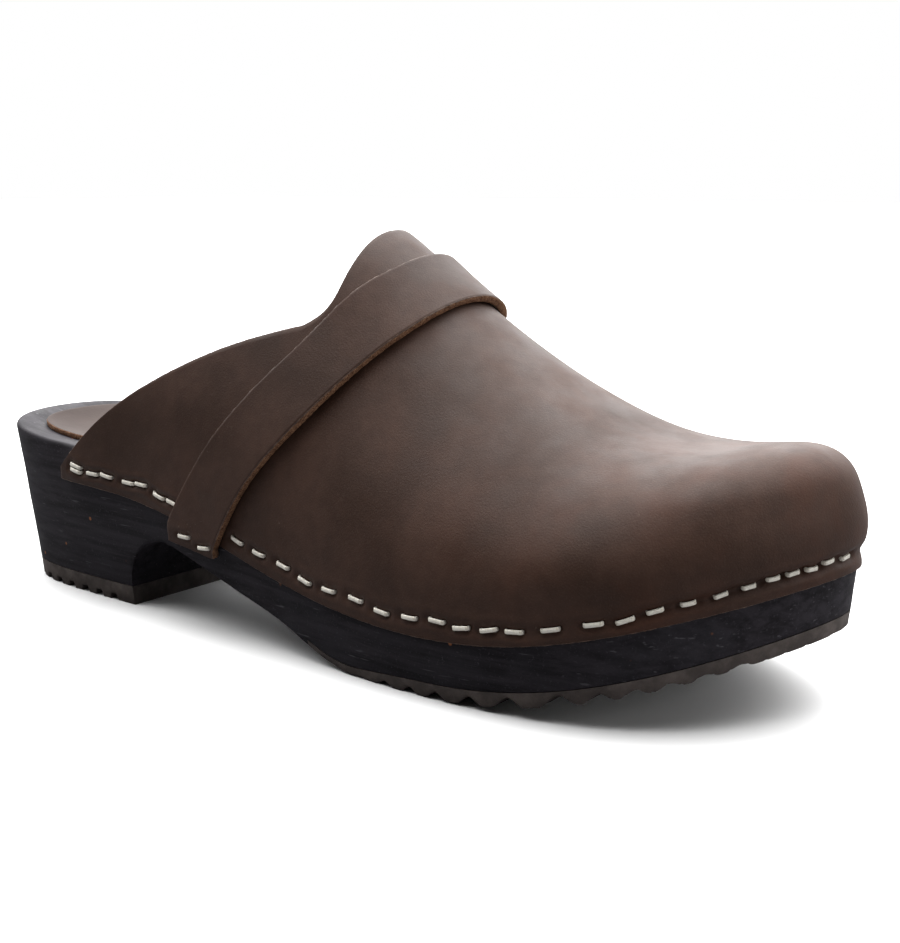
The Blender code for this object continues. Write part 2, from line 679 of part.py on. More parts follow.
def make_staple(name, frame, material, collection):
    """A U of flat wire: the crown on the leather and two legs down into the wood."""
    half, leg, wire = STAPLE_CROWN / 2, STAPLE_LEG, STAPLE_WIRE / 2
    inner, tip = half - STAPLE_THICK, half - LEG_LEAN * STAPLE_LEG
    low, high = STAPLE_PROUD, STAPLE_PROUD + STAPLE_THICK
    right = [(half, high), (half, 0), (tip, -leg), (tip - STAPLE_THICK, -leg), (inner, 0), (inner, low)]
    outline_points = right + [(-x, z) for x, z in reversed(right)]
    count = len(outline_points)
    points = [(x, y, z) for y in (-wire, wire) for x, z in outline_points]
    faces = [(i, (i + 1) % count, (i + 1) % count + count, i + count) for i in range(count)]
    faces += [tuple(reversed(range(count))), tuple(range(count, 2 * count))]
    return placed_object(name, points, faces, frame, material, collection)


def make_slots(name, frame, cutters):
    """The two leg slots that a staple's legs stand in."""
    half, wire = STAPLE_CROWN / 2 + SLOT_CLEARANCE, STAPLE_WIRE / 2 + SLOT_CLEARANCE
    inner = STAPLE_CROWN / 2 - STAPLE_THICK - SLOT_CLEARANCE
    low, high = -STAPLE_LEG - SLOT_CLEARANCE, STAPLE_PROUD + STAPLE_THICK + SLOT_CLEARANCE
    for end, side in (("a", -1), ("b", 1)):
        section = [(x, y, z) for x in (inner, half) for y in (-wire, wire) for z in (low, high)]
        corners = [(side * (x + LEG_LEAN * z), y, z) for x, y, z in section]
        cutter = placed_object(f"{name}_slot_{end}", corners, BOX_FACES, frame, None, cutters)
        cutter.hide_render = True
        cutter.display_type = "WIRE"


def placed_object(name, points, faces, frame, material, collection):
    """An object made in a staple's own axes, from points in millimetres, and put in place."""
    mesh = bpy.data.meshes.new(name)
    mesh.from_pydata([tuple(c * MM for c in p) for p in points], [], faces)
    work = bmesh.new()
    work.from_mesh(mesh)
    bmesh.ops.recalc_face_normals(work, faces=work.faces)
    work.to_mesh(mesh)
    work.free()
    if material:
        mesh.materials.append(material)
    made = bpy.data.objects.new(name, mesh)
    made.matrix_world = frame
    collection.objects.link(made)
    return made


def make_staples(material, leather_cutters, strap_cutters, wood_cutters, collection):
    """Every staple with its slots. The wood's slots are those of the leather and the strap together."""
    for label, side, places in (("outer", -1, OUTER_STAPLES), ("inner", 1, INNER_STAPLES)):
        for i, (x, height) in enumerate(places):
            frame = staple_frame(side, x, height, STAPLE_TILTS[i % len(STAPLE_TILTS)])
            name = f"staple_{label}_{i + 1:02d}"
            make_staple(name, frame, material, collection)
            make_slots(name, frame, leather_cutters)
        for i, x in enumerate(STRAP_STAPLES):
            frame = staple_frame(side, x, STRAP_STAPLE_HEIGHT, -STAPLE_TILTS[i], through_strap=True)
            name = f"staple_strap_{label}_{i + 1}"
            make_staple(name, frame, material, collection)
            make_slots(name, frame, strap_cutters)
    for i, rise in enumerate((-DOUBLED_RISE, DOUBLED_RISE)):
        frame = staple_frame(-1, DOUBLED_STAPLE, STAPLE_HEIGHT + rise, DOUBLED_TILT)
        name = f"staple_doubled_{i + 1}"
        make_staple(name, frame, material, collection)
        make_slots(name, frame, leather_cutters)
    for cutters in (leather_cutters, strap_cutters):
        for cutter in cutters.objects:
            wood_cutters.objects.link(cutter)


def new_collection(name, cutters=False):
    made = bpy.data.collections.new(name)
    bpy.context.scene.collection.children.link(made)
    made.hide_render = cutters
    return made


def make_clog():
    for old in list(bpy.data.objects):
        bpy.data.objects.remove(old)
    parts = new_collection("Wooden clog")
    leather_cutters = new_collection("Cutters through the upper", cutters=True)
    strap_cutters = new_collection("Cutters through the strap", cutters=True)
    wood_cutters = new_collection("Cutters into the wood", cutters=True)

    wood = new_material("stained_wood", (0.028, 0.026, 0.03), 0.55)
    rubber = new_material("rubber", (0.045, 0.04, 0.037), 0.8)
    leather = new_material("brown_leather", (0.105, 0.065, 0.045), 0.5)
    insole_leather = new_material("insole_leather", (0.19, 0.13, 0.1), 0.6)
    wire = new_material("coated_wire", (0.62, 0.58, 0.5), 0.4, 0.3)

    cut(make_wooden_sole(wood, parts), wood_cutters)
    make_heel_tread(rubber, parts)
    make_sole_tread(rubber, parts)
    make_insole(insole_leather, parts)
    make_upper(leather, leather_cutters, parts)
    make_strap(leather, strap_cutters, parts)
    make_staples(wire, leather_cutters, strap_cutters, wood_cutters, parts)


make_clog()
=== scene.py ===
"""Looks of the wooden clog: every piece of the CAD frame is replaced by a finer mesh of the same shape
and size, with cut leather edges, dimples under the staples and worked materials.

The shapes are laid out in the CAD source's millimetres: +X to the toe, +Y to the inner side, +Z up.
"""

import math

import bmesh
import bpy
import numpy as np
from mathutils import Matrix, Vector, noise


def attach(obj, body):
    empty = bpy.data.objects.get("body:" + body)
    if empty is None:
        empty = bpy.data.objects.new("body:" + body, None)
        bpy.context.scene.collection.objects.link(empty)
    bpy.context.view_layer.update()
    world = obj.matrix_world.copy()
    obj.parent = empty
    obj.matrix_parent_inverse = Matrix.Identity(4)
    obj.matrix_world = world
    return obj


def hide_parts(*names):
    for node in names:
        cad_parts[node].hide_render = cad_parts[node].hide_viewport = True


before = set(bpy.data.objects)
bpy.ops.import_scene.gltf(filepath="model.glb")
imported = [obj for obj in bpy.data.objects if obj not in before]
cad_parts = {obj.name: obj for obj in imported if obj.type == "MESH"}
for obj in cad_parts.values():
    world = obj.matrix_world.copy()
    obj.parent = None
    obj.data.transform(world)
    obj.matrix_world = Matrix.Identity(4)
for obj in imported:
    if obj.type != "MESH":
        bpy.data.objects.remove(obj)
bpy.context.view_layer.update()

MM = 0.001
MIDDLE = np.array([-2.0, 0.0, 0.0])  # the point of the layout that stands on the row frame's Z axis

# ---- The clog's shape, as in the CAD source, in millimetres ----

HEEL_BACK = (-143.3, -2.0)
TOE_TIP = (139.5, 5.0)
OUTER_SIDE = [(-134.6, -25.6), (-108.4, -35.0), (-48.0, -39.0), (17.6, -47.3), (72.0, -49.8), (115.0, -36.0)]
INNER_SIDE = [(124.3, 29.7), (67.0, 50.1), (12.0, 42.4), (-38.0, 31.0), (-98.0, 32.2), (-134.8, 25.6)]

UNDERSIDE = [
    (-53, 22.0), (-23, 13.6), (2, 6.7), (20, 0.7), (31, 0.0), (50, 0.0), (72, 1.7), (95, 6.2), (117, 12.6),
    (139.5, 20.6),
]
LEATHER_EDGE = [
    (-128, 38.2), (-98, 37.2), (-68, 34.8), (-38, 29.2), (-3, 21.4), (37, 16.6), (77, 18.8), (112, 27.4),
    (144, 37.4),
]
WOOD_RIM = [
    (-146, 52.4), (-118, 48.9), (-88, 46.4), (-48, 41.5), (-3, 34.5), (37, 29.5), (77, 31.5), (112, 39.5),
    (140, 47.5),
]

HEEL_BREAST_X = -73.6
BREAST_RADIUS = 19.0
BREAST_TOP_Z = 22.6
BREAST_POWER = 2.4
SIDE_DRAFT = 0.10
BACK_DRAFT = 0.20
REBATE_DEPTH = 1.6
REBATE_REAR_ROOM = 4.0
REBATE_RUN_OUT = 30.0
PLUMB_RUN_IN = 25.0
LEDGE_RISE = 0.02
RIM_ROUND = 2.2
LINING_ROOM = 0.06
LINING_LEAD = 10.0
RIM_SHARE = 0.96
FOOTBED_DISH = 3.0
DISH_SHARES = (0.35, 0.95)
HEEL_CENTRE_ROOM = 36.0
TOE_CENTRE_ROOM = 48.0
GAP = 0.3

HEEL_TREAD_THICK = 6.0
SOLE_TREAD_THICK = 4.2
SOLE_TREAD_START_X = 7.0
SKIVE_LENGTH = 45.0
SKIVED_THICK = 1.6
HEEL_GROOVE_FLAT = 0.7
HEEL_GROOVES = [(x, 1.9, 1.9) for x in (-128.5, -121.0, -113.5, -106.0, -98.5, -91.0, -83.5)]
SOLE_GROOVES = [
    (27.5, 3.0, 0.4), (36.5, 3.4, 1.3), (45.0, 3.2, 1.7), (53.7, 3.8, 2.0), (64.0, 4.3, 2.3),
    (75.2, 4.9, 2.7), (88.7, 5.4, 2.9), (98.5, 4.0, 2.2), (106.5, 3.5, 1.5), (113.7, 3.1, 1.2),
    (120.3, 2.8, 1.1), (126.4, 2.6, 1.0),
]

INSOLE_THICK = 2.0
INSOLE_INSET = 10.0
INSOLE_LEAST_SHARE = 0.2

LEATHER_THICK = 2.2
UPPER_REAR_X = -100.0
RIDGE = [
    (-100, 122), (-60, 125), (-28, 124), (0, 115.5), (17, 103.2), (35, 89.9), (65, 72.2), (85, 64.4),
    (104, 62.7), (118, 64.8),
]
RIDGE_Y = [(-100, 0.0), (0, 3.0), (118, 4.5)]
RIDGE_FRONT_X = 113.0
FAN_START_X = 58.0
QUARTER_EDGE = [(-100, 41.0), (-84, 56.0), (-58.5, 71.7), (-31.5, 82.7), (-7.5, 89.2)]
TAB_EDGE = [(89.2, -7.5), (91.5, -3.8), (95.0, -1.0), (101.0, 0.2), (108.0, 0.8), (115.3, 1.5)]
TAB_SPREAD = 33.0
SECTION_POWER = [(-100, 2.0), (0, 2.0), (60, 2.2), (100, 3.1), (125, 4.2), (142, 4.8)]
SECTION_PINCH = [(-100, 0.05), (0, 0.08), (50, 0.03), (100, 0.0), (142, 0.0)]
BULGE_TOP = 0.75
BULGE = [(-100, 0.0), (-40, 0.8), (60, 1.4), (110, 1.4), (142, 1.0)]

STRAP_THICK = 2.4
STRAP_GAP = 0.5
STRAP_REAR = [
    (0, -47.6), (0.15, -39.5), (0.4, -23.5), (0.65, -6.8), (0.93, 3.9), (1.25, 11.6), (math.pi / 2, 13.6),
]
STRAP_FRONT = [
    (0, -27.4), (0.21, -15.8), (0.45, 0.2), (0.64, 9.8), (0.86, 18.0), (1.11, 24.5), (math.pi / 2, 28),
]
STRAP_TAIL_REAR = 6.2
STRAP_TAIL_FRONT = 3.8
STRAP_TAIL_SWEEP = 2.0
STRAP_DRAW_IN = 0.15

STAPLE_CROWN = 5.2
STAPLE_WIRE = 1.3
STAPLE_THICK = 0.7
STAPLE_LEG = 7.5
LEG_LEAN = 0.15
STAPLE_HEIGHT = 4.4
STRAP_STAPLE_HEIGHT = -2.1
OUTER_STAPLES = [  # (x, height above the leather's edge)
    (-85.0, 4.0), (-78.9, 4.5), (-69.4, 4.5), (-63.6, 5.5), (-55.4, 4.5), (-49.4, 4.5), (-20.2, 4.5),
    (-10.8, 4.5), (-0.4, 5.0), (8.5, 4.0), (18.0, 4.5), (28.2, 5.0), (37.5, 4.0), (47.0, 4.5), (55.8, 5.0),
    (63.2, 4.0), (71.2, 4.0), (78.2, 3.6), (87.5, 3.6), (97.5, 3.6), (104.3, 3.2), (110.3, 4.0),
    (116.5, 4.0), (122.2, 4.0), (126.8, 4.2), (130.5, 4.6), (133.4, 4.4), (135.9, 4.0), (137.8, 4.6),
    (139.3, 4.0),
]
INNER_STAPLE_XS = (-92, -80, -68, -56, -18, -5, 8, 21, 34, 47, 60, 73, 86, 98, 109, 119, 127, 134)
INNER_STAPLES = [(x, STAPLE_HEIGHT) for x in INNER_STAPLE_XS]
STRAP_STAPLES = [-40.2, -31.2]
DOUBLED_STAPLE = -92.5
DOUBLED_RISE = 0.75
DOUBLED_TILT = -9
STAPLE_TILTS = [1, -5, 3, 5, -7, -2, -6, 3, 0, -4, 5, -1, -3]

# ---- Details that only the looks have, in millimetres ----

ROW_SPACING = 0.9  # between the upper's mesh rows, along the leather's lower edge
UPPER_COLUMNS = 62
TOE_PINCH = 0.9  # how far the staples draw the leather in at the toe
TOE_PINCH_START_X = 96.0
TOE_PINCH_END_ROOM = 6.0
TOE_STAPLE_HEIGHT = 4.0
PINCH_WIDTH = 1.9
# A cut edge's section: (share of the leather's thickness, how far it bulges out)
EDGE_PROFILE = [(0.1, 0.22), (0.3, 0.3), (0.5, 0.32), (0.7, 0.3), (0.9, 0.2)]
EDGE_FRAY = 0.18
DIMPLE_DEPTH = 0.45  # under a crown
DIMPLE_WIDTH = 1.3
PIT_DEPTH = 0.9  # where a leg goes in
PIT_RADIUS = 0.9
PUFF_HEIGHT = 0.25  # the leather swells this much on either side of a crown
PUFF_AWAY = 2.4
PUFF_WIDTH = 0.9
LEATHER_UNEVEN = 0.22
STRAP_UNEVEN = 0.25
WOOD_ROUND = 0.25  # the radius of the wood's lower edge, and what is added to it where no tread covers it
BARE_WOOD_ROUND = 1.1
RUBBER_ROUND = 0.35
LUG_NOTCH = 0.22  # small notches across the lugs near the toe
LUG_NOTCH_PITCH = 2.9
WIRE_BEND = 0.62  # the radius of a staple's corners
WIRE_SQUARENESS = 0.55
TOE_CROWN_LOSS = 0.3  # the crowns round the toe are this much shorter
TOE_CROWN_LOSS_X = 122.0
CROWN_SLIM = 0.86
CROWN_SINK = 0.12  # the crowns are pressed this deep in the leather's face

# ---- Camera, in metres ----

CAMERA_PLACE = (0.27666, -0.33934, 0.12842)
CAMERA_LOOK = (-0.58633, 0.78796, -0.18796)
CAMERA_LENS = 58.16

# ---- Light, in metres and watts ----

BRIGHT_SIDE = (-0.28, 0.46, 0.84)  # the direction that most of the surroundings' light comes from
BRIGHT_RANGE = (0.3, 0.9)  # the cosines from that direction between which the light goes from dark to bright
DARK_LIGHT, BRIGHT_LIGHT, BACKGROUND_LIGHT = 0.03, 5.5, 1.0
FLOOR_BOUNCE = (0.17, 0.17, 0.175)  # the floor as the clog sees it
FLOOR_HALF = 8.0
LIGHTS = [  # (name, place, aim, size, power)
    ("overhead", (-0.1, 0.25, 1.3), (0.0, 0.0, 0.05), (1.0, 0.8), 6.0),
    ("toe_side", (1.3, 0.15, 0.45), (0.1, 0.0, 0.04), (0.5, 0.5), 3.2),
]


# ---- Curves ----


class Spline:
    """A smooth cubic curve through points, natural at its ends or closed."""

    def __init__(self, points, closed=False, knots=None):
        points = np.array(points, float)
        if closed:
            points = np.vstack([points, points[:1]])
        steps = np.linalg.norm(np.diff(points, axis=0), axis=1) ** 0.75
        self.knots = np.concatenate([[0], np.cumsum(steps)]) if knots is None else np.array(knots, float)
        self.points = points
        self.bends = self._bends(np.diff(self.knots), points, closed)

    @staticmethod
    def _bends(h, p, closed):
        """The second derivative at each point."""
        n = len(p)
        matrix, right = np.eye(n), np.zeros_like(p)
        for i in range(1, n - 1):
            matrix[i, i - 1 : i + 2] = h[i - 1], 2 * (h[i - 1] + h[i]), h[i]
            right[i] = 6 * ((p[i + 1] - p[i]) / h[i] - (p[i] - p[i - 1]) / h[i - 1])
        if closed:
            matrix[0, 0], matrix[0, 1] = 2 * (h[-1] + h[0]), h[0]
            matrix[0, n - 2] = h[-1]
            right[0] = 6 * ((p[1] - p[0]) / h[0] - (p[0] - p[-2]) / h[-1])
            matrix[-1, 0] = -1
        return np.linalg.solve(matrix, right)

    def at(self, t):
        t = np.atleast_1d(t)
        i = np.clip(np.searchsorted(self.knots, t, side="right") - 1, 0, len(self.knots) - 2)
        h = (self.knots[i + 1] - self.knots[i])[:, None]
        b = (t - self.knots[i])[:, None] / h
        a = 1 - b
        return (
            a * self.points[i]
            + b * self.points[i + 1]
            + ((a**3 - a) * self.bends[i] + (b**3 - b) * self.bends[i + 1]) * h**2 / 6
        )


class Height:
    """A smooth height over x, through (x, z) points, level beyond them."""

    def __init__(self, points):
        curve = Spline(points, knots=[x for x, _ in points])
        dense = curve.at(np.linspace(curve.knots[0], curve.knots[-1], 2000))
        self.x, self.z = dense[:, 0], dense[:, 1]

    def __call__(self, x):
        return np.interp(x, self.x, self.z)


def smooth_step(value, low, high):
    t = np.clip((value - low) / (high - low), 0.0, 1.0)
    return t * t * (3 - 2 * t)


def unit(vectors):
    return vectors / np.maximum(np.linalg.norm(vectors, axis=-1, keepdims=True), 1e-9)


def mirrored(points):
    """A strap edge's (turn, x) points, carried on past the ridge."""
    return points + [(math.pi - turn, x) for turn, x in reversed(points[:-1])]


edge_z = Height(LEATHER_EDGE)
rim_z = Height(WOOD_RIM)
underside_z = Height(UNDERSIDE)
ridge_z = Height(RIDGE)
ridge_y = Height(RIDGE_Y)
quarter_z = Height(QUARTER_EDGE)
tab_x = Height(TAB_EDGE)
strap_rear_x = Height(mirrored(STRAP_REAR))
strap_front_x = Height(mirrored(STRAP_FRONT))
section_power = Height(SECTION_POWER)
section_pinch = Height(SECTION_PINCH)
bulge_width = Height(BULGE)


class Outline:
    """The sole's plan outline, read by x on its outer (-1) or inner (+1) side."""

    def __init__(self):
        curve = Spline([HEEL_BACK, *OUTER_SIDE, TOE_TIP, *INNER_SIDE], closed=True)
        points = curve.at(np.linspace(0, curve.knots[-1], 4001)[:-1])
        rear, front = points[:, 0].argmin(), points[:, 0].argmax()
        self.rear_x, self.front_x = points[rear, 0], points[front, 0]
        points = np.roll(points, -rear, axis=0)
        front = (front - rear) % len(points)
        along = np.roll(points, -1, axis=0) - np.roll(points, 1, axis=0)
        normals = unit(np.stack([along[:, 1], -along[:, 0]], -1))
        if normals[0, 0] > 0:
            normals = -normals
        inner = [np.vstack([array[front:], array[:1]])[::-1] for array in (points, normals)]
        self.sides = {-1: (points[: front + 1], normals[: front + 1]), 1: tuple(inner)}

    def at(self, side, x):
        """(points, outward normals) in plan."""
        points, normals = self.sides[side]
        place = np.stack([np.interp(x, points[:, 0], column) for column in points.T], -1)
        normal = np.stack([np.interp(x, points[:, 0], column) for column in normals.T], -1)
        return place, unit(normal)

    def stations(self, low, high, spacing):
        """x values from low to high that are evenly far apart along the outer side."""
        points = self.sides[-1][0]
        points = points[(points[:, 0] >= low) & (points[:, 0] <= high)]
        run = np.concatenate([[0], np.cumsum(np.linalg.norm(np.diff(points, axis=0), axis=1))])
        even = np.interp(np.linspace(0, run[-1], int(run[-1] / spacing)), run, points[:, 0])
        return np.concatenate([[low], even[1:-1], [high]])


outline = Outline()


# ---- Surfaces ----


def wall_point(side, x, z, proud=0.0):
    """Points on the wooden sole's leaning side wall, at height z, standing proud by that much."""
    place, normal = outline.at(side, x)
    back = np.where(x < 0, np.maximum(0.0, -normal[..., 0]) ** 2, 0.0)
    draft = SIDE_DRAFT + (BACK_DRAFT - SIDE_DRAFT) * back
    rise = z - edge_z(x)
    rise = np.where(rise > 0, rise * (1 - smooth_step(x, UPPER_REAR_X - PLUMB_RUN_IN, UPPER_REAR_X)), rise)
    moved = place + normal * (draft * rise + proud)[..., None]
    return np.concatenate([moved, np.broadcast_to(z, x.shape)[..., None]], -1)


def rebate_at(x):
    """The rebate runs out towards the leather's rear corner."""
    start = UPPER_REAR_X + REBATE_REAR_ROOM
    return REBATE_DEPTH * smooth_step(x, start, start + REBATE_RUN_OUT)


def proud_at(x):
    """How far the leather's outer face stands out from the wood's side."""
    return GAP + LEATHER_THICK - rebate_at(x)


def ridge_x(x):
    """Where the cross-section that starts at x on the edge meets the middle line."""
    span = outline.front_x - FAN_START_X
    share = (x - FAN_START_X) / span
    lost = 1 - (RIDGE_FRONT_X - FAN_START_X) / span
    return np.where(x < FAN_START_X, x, FAN_START_X + span * (share - lost * share**2))


def upper_point(side, x, turn):
    """Points on the upper's outer face. turn runs from 0 at the edge to pi/2 on the middle line."""
    foot = wall_point(side, x, edge_z(x), proud_at(x))
    top_x = ridge_x(x)
    span = foot[..., :2] - np.stack([top_x, ridge_y(top_x)], -1)
    reach = np.linalg.norm(span, axis=-1)
    way = span / reach[..., None]
    power = 2 / section_power(x)
    up = np.sin(turn) ** power
    out = np.where(turn < math.pi / 2 - 1e-9, np.maximum(np.cos(turn), 0.0) ** power, 0.0)
    out = out - section_pinch(x) * np.sin(2 * turn) ** 2
    swell = bulge_width(x) * np.sin(math.pi * np.minimum(1.0, up / BULGE_TOP)) ** 2
    slope = (ridge_z(top_x + 1) - ridge_z(top_x - 1)) / 2 * way[..., 0]
    z = foot[..., 2] + (ridge_z(top_x) - foot[..., 2]) * up + slope * reach * out * (1 - out**2) * up
    place = np.stack([top_x, ridge_y(top_x)], -1) + way * (reach * out + swell)[..., None]
    return np.concatenate([place, z[..., None]], -1)


def turn_at(x, z):
    """The turn at which the cross-section that starts at x reaches the height z."""
    share = np.clip((z - edge_z(x)) / (ridge_z(ridge_x(x)) - edge_z(x)), 0.0, 1.0)
    return np.arcsin(share ** (section_power(x) / 2))


def row_end(x):
    """(x, turn) where the mesh rows that start at x on the leather's edge end: at the opening or ridge."""
    corner, (tab_top_z, tab_top_x) = QUARTER_EDGE[-1][0], TAB_EDGE[-1]
    tab_z = TAB_EDGE[0][0] + (tab_top_z - TAB_EDGE[0][0]) * (x - corner) / TAB_SPREAD
    on_quarter, on_tab = x <= corner, (x > corner) & (x < corner + TAB_SPREAD)
    lean = corner + TAB_SPREAD - tab_top_x
    past = x - lean * (1 - smooth_step(x, corner + TAB_SPREAD, corner + 3 * TAB_SPREAD))
    end_x = np.where(on_quarter, x, np.where(on_tab, tab_x(tab_z), past))
    end_z = np.where(on_quarter, quarter_z(x), tab_z)
    turn = np.where(on_quarter | on_tab, turn_at(end_x, np.minimum(end_z, ridge_z(end_x))), math.pi / 2)
    return end_x, turn


def upper_frame(side, x, turn):
    """(points, outward normals, forward tangents) on the upper's outer face."""
    low, high = np.maximum(0.0, turn - 0.02), np.minimum(math.pi / 2, turn + 0.02)
    along = upper_point(side, np.minimum(x + 0.5, outline.front_x), turn) - upper_point(side, x - 0.5, turn)
    up = upper_point(side, x, high) - upper_point(side, x, low)
    normal = np.cross(along, up) if side < 0 else np.cross(up, along)
    return upper_point(side, x, turn), unit(normal), unit(along)


def lining_point(side, x, z):
    """Points of the wood's side under the leather, following the leather's inner face."""
    foot_z = edge_z(x)
    under = smooth_step(x, UPPER_REAR_X - LINING_LEAD, UPPER_REAR_X)
    outer = upper_point(side, x, turn_at(x, z))
    room = LEATHER_THICK + GAP + LINING_ROOM * (z - foot_z)
    inner = outer[..., :2] - outline.at(side, x)[1] * room[..., None]
    own = wall_point(side, x, z, -rebate_at(x))[..., :2]
    place = own + (inner - own) * under[..., None]
    return np.concatenate([place, np.broadcast_to(z, x.shape)[..., None]], -1)


def footbed_point(side, x, share, lift=0.0):
    """Points on the wood's dished top. share is 1 at the rim and 0 on the middle line."""
    rim = lining_point(side, x, rim_z(x))
    middle_x = np.clip(x, outline.rear_x + HEEL_CENTRE_ROOM, outline.front_x - TOE_CENTRE_ROOM)
    outer, inner = outline.at(-1, middle_x)[0], outline.at(1, middle_x)[0]
    middle = np.stack([middle_x, (outer[..., 1] + inner[..., 1]) / 2], -1)
    place = middle + (rim[..., :2] - middle) * np.broadcast_to(share, x.shape)[..., None]
    dish = FOOTBED_DISH * (1 - smooth_step(share, *DISH_SHARES))
    return np.concatenate([place, (rim_z(place[..., 0]) - dish + lift)[..., None]], -1)


def tread_thickness(x):
    """The rubber's thickness under x: none under the waist, skived thin where the forepart's tread starts."""
    run_in = smooth_step(x, SOLE_TREAD_START_X, SOLE_TREAD_START_X + SKIVE_LENGTH)
    skived = SKIVED_THICK + (SOLE_TREAD_THICK - SKIVED_THICK) * run_in
    fore = np.where(x < SOLE_TREAD_START_X - 0.01, 0.0, skived)
    return np.where(x < HEEL_BREAST_X + 0.01, HEEL_TREAD_THICK, fore)


def wood_bottom_z(x):
    """The wood's underside: the heel block's foot, the hollow at its front, the waist and the forepart."""
    across = np.clip((HEEL_BREAST_X + BREAST_RADIUS - x) / BREAST_RADIUS, 0.0, 1.0)
    hollow = HEEL_TREAD_THICK + (BREAST_TOP_Z - HEEL_TREAD_THICK) * np.sqrt(1 - across**BREAST_POWER)
    fore = np.where(x < HEEL_BREAST_X + BREAST_RADIUS, hollow, underside_z(x) + tread_thickness(x))
    return np.where(x <= HEEL_BREAST_X, HEEL_TREAD_THICK, fore)


# ---- Meshes ----


def new_mesh(name, points, faces, materials, face_materials=None):
    """A smooth closed mesh from points in metres, its faces turned outwards."""
    mesh = bpy.data.meshes.new(name)
    mesh.from_pydata(points.tolist(), [], faces)
    for material in materials:
        mesh.materials.append(material)
    if face_materials is not None:
        mesh.polygons.foreach_set("material_index", np.asarray(face_materials, np.int32))
    work = bmesh.new()
    work.from_mesh(mesh)
    bmesh.ops.remove_doubles(work, verts=work.verts, dist=0.00001)
    bmesh.ops.recalc_face_normals(work, faces=work.faces)
    work.to_mesh(mesh)
    work.free()
    mesh.shade_smooth()
    return mesh


def new_object(name, points, faces, materials, replaces, face_materials=None):
    """A piece from points in layout millimetres, standing for those CAD nodes."""
    mesh = new_mesh(name, (points - MIDDLE) * MM, faces, materials, face_materials)
    made = bpy.data.objects.new(name, mesh)
    bpy.context.scene.collection.objects.link(made)
    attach(made, "root")
    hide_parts(*replaces)
    return made


def grid_faces(rows, columns, closed=False):
    """Quads over a grid of points, whose last row may join its first."""
    index = np.arange(rows * columns).reshape(rows, columns)
    below = index if closed else index[:-1]
    above = np.roll(index, -1, axis=0) if closed else index[1:]
    quads = np.stack([below[:, :-1], above[:, :-1], above[:, 1:], below[:, 1:]], -1)
    return quads.reshape(-1, 4).tolist()


def grid_normals(grid, outward):
    """Unit normals of a grid of points, turned to agree with the outward directions."""
    normals = unit(np.cross(np.gradient(grid, axis=0), np.gradient(grid, axis=1)))
    flip = np.sign(np.sum(normals * outward))
    return normals * flip


def cut_edge(rows, columns, open_rows):
    """(row, column) round a grid's edge. The last column is cut only along the first and last open_rows."""
    last_row, last_column = rows - 1, columns - 1
    path = [(row, 0) for row in range(rows)]
    path += [(last_row, column) for column in range(1, columns)]
    cut_rows = [row for row in range(last_row - 1, -1, -1) if not open_rows <= row <= last_row - open_rows]
    path += [(row, last_column) for row in cut_rows]
    path += [(0, column) for column in range(last_column - 1, 0, -1)]
    return np.array(path)


def leather_sheet(name, outer, inner, materials, replaces, open_rows):
    """Cut leather between the grids of its two faces. materials: grain, flesh, cut edge, and the worn corner,
    whose lighter colour is partly a painted highlight.
    """
    rows, columns = outer.shape[:2]
    count = rows * columns
    path = cut_edge(rows, columns, open_rows)
    row, column = path.T
    inward_row, inward_column = np.clip(row, 1, rows - 2), np.clip(column, 1, columns - 2)
    middle = (outer + inner) / 2
    away = unit(middle[row, column] - middle[inward_row, inward_column])
    ids = row * columns + column
    loops, points = [ids], [outer.reshape(-1, 3), inner.reshape(-1, 3)]
    for i, (share, push) in enumerate(EDGE_PROFILE):
        loop = outer[row, column] * (1 - share) + inner[row, column] * share
        fray = uneven(loop, 0.9, EDGE_FRAY, 40.0 + i)
        loops.append(count * 2 + i * len(path) + np.arange(len(path)))
        points.append(loop + away * (push + fray)[..., None])
    loops.append(ids + count)
    faces = grid_faces(rows, columns)
    kinds = [0] * len(faces) + [1] * len(faces)
    faces += [tuple(i + count for i in reversed(face)) for face in faces]
    for i, (low, high) in enumerate(zip(loops, loops[1:])):
        strip = np.stack([low, np.roll(low, -1), np.roll(high, -1), high], -1).tolist()
        faces += strip
        kinds += [3 if i == 0 else 2] * len(strip)
    new_object(name, np.concatenate(points), faces, materials, replaces, kinds)


# ---- Staples' places ----


def leather_draw(x, height):
    """How far the leather stands off its smooth shape: the staples pull it in at the toe."""
    toe = smooth_step(x, TOE_PINCH_START_X, outline.front_x - TOE_PINCH_END_ROOM)
    return -TOE_PINCH * toe * np.exp(-(((height - TOE_STAPLE_HEIGHT) / PINCH_WIDTH) ** 2))


def staple_frame(side, x, height, tilt, through_strap=False):
    """A staple's place and axes: along its crown, across it and out of the leather."""
    if through_strap:
        across = (x - strap_rear_x(0.0)) / (strap_front_x(0.0) - strap_rear_x(0.0))
        turn = height / strap_tail(across)
        place = strap_point(side, across, np.array(turn))
        out = np.append(outline.at(side, np.array(x))[1], 0.0)
        along = np.cross((0, 0, 1), out) * -side
        place = place + out * (STRAP_THICK - CROWN_SINK)
    else:
        x = np.array(float(x))
        place, out, along = upper_frame(side, x, turn_at(x, edge_z(x) + height))
        place = place + out * (leather_draw(x, height) - CROWN_SINK - DIMPLE_DEPTH * 0.5)
    up = np.cross(out, along)
    angle = math.radians(tilt)
    crown = along * math.cos(angle) + up * math.sin(angle)
    return place, np.stack([crown, np.cross(out, crown), out])


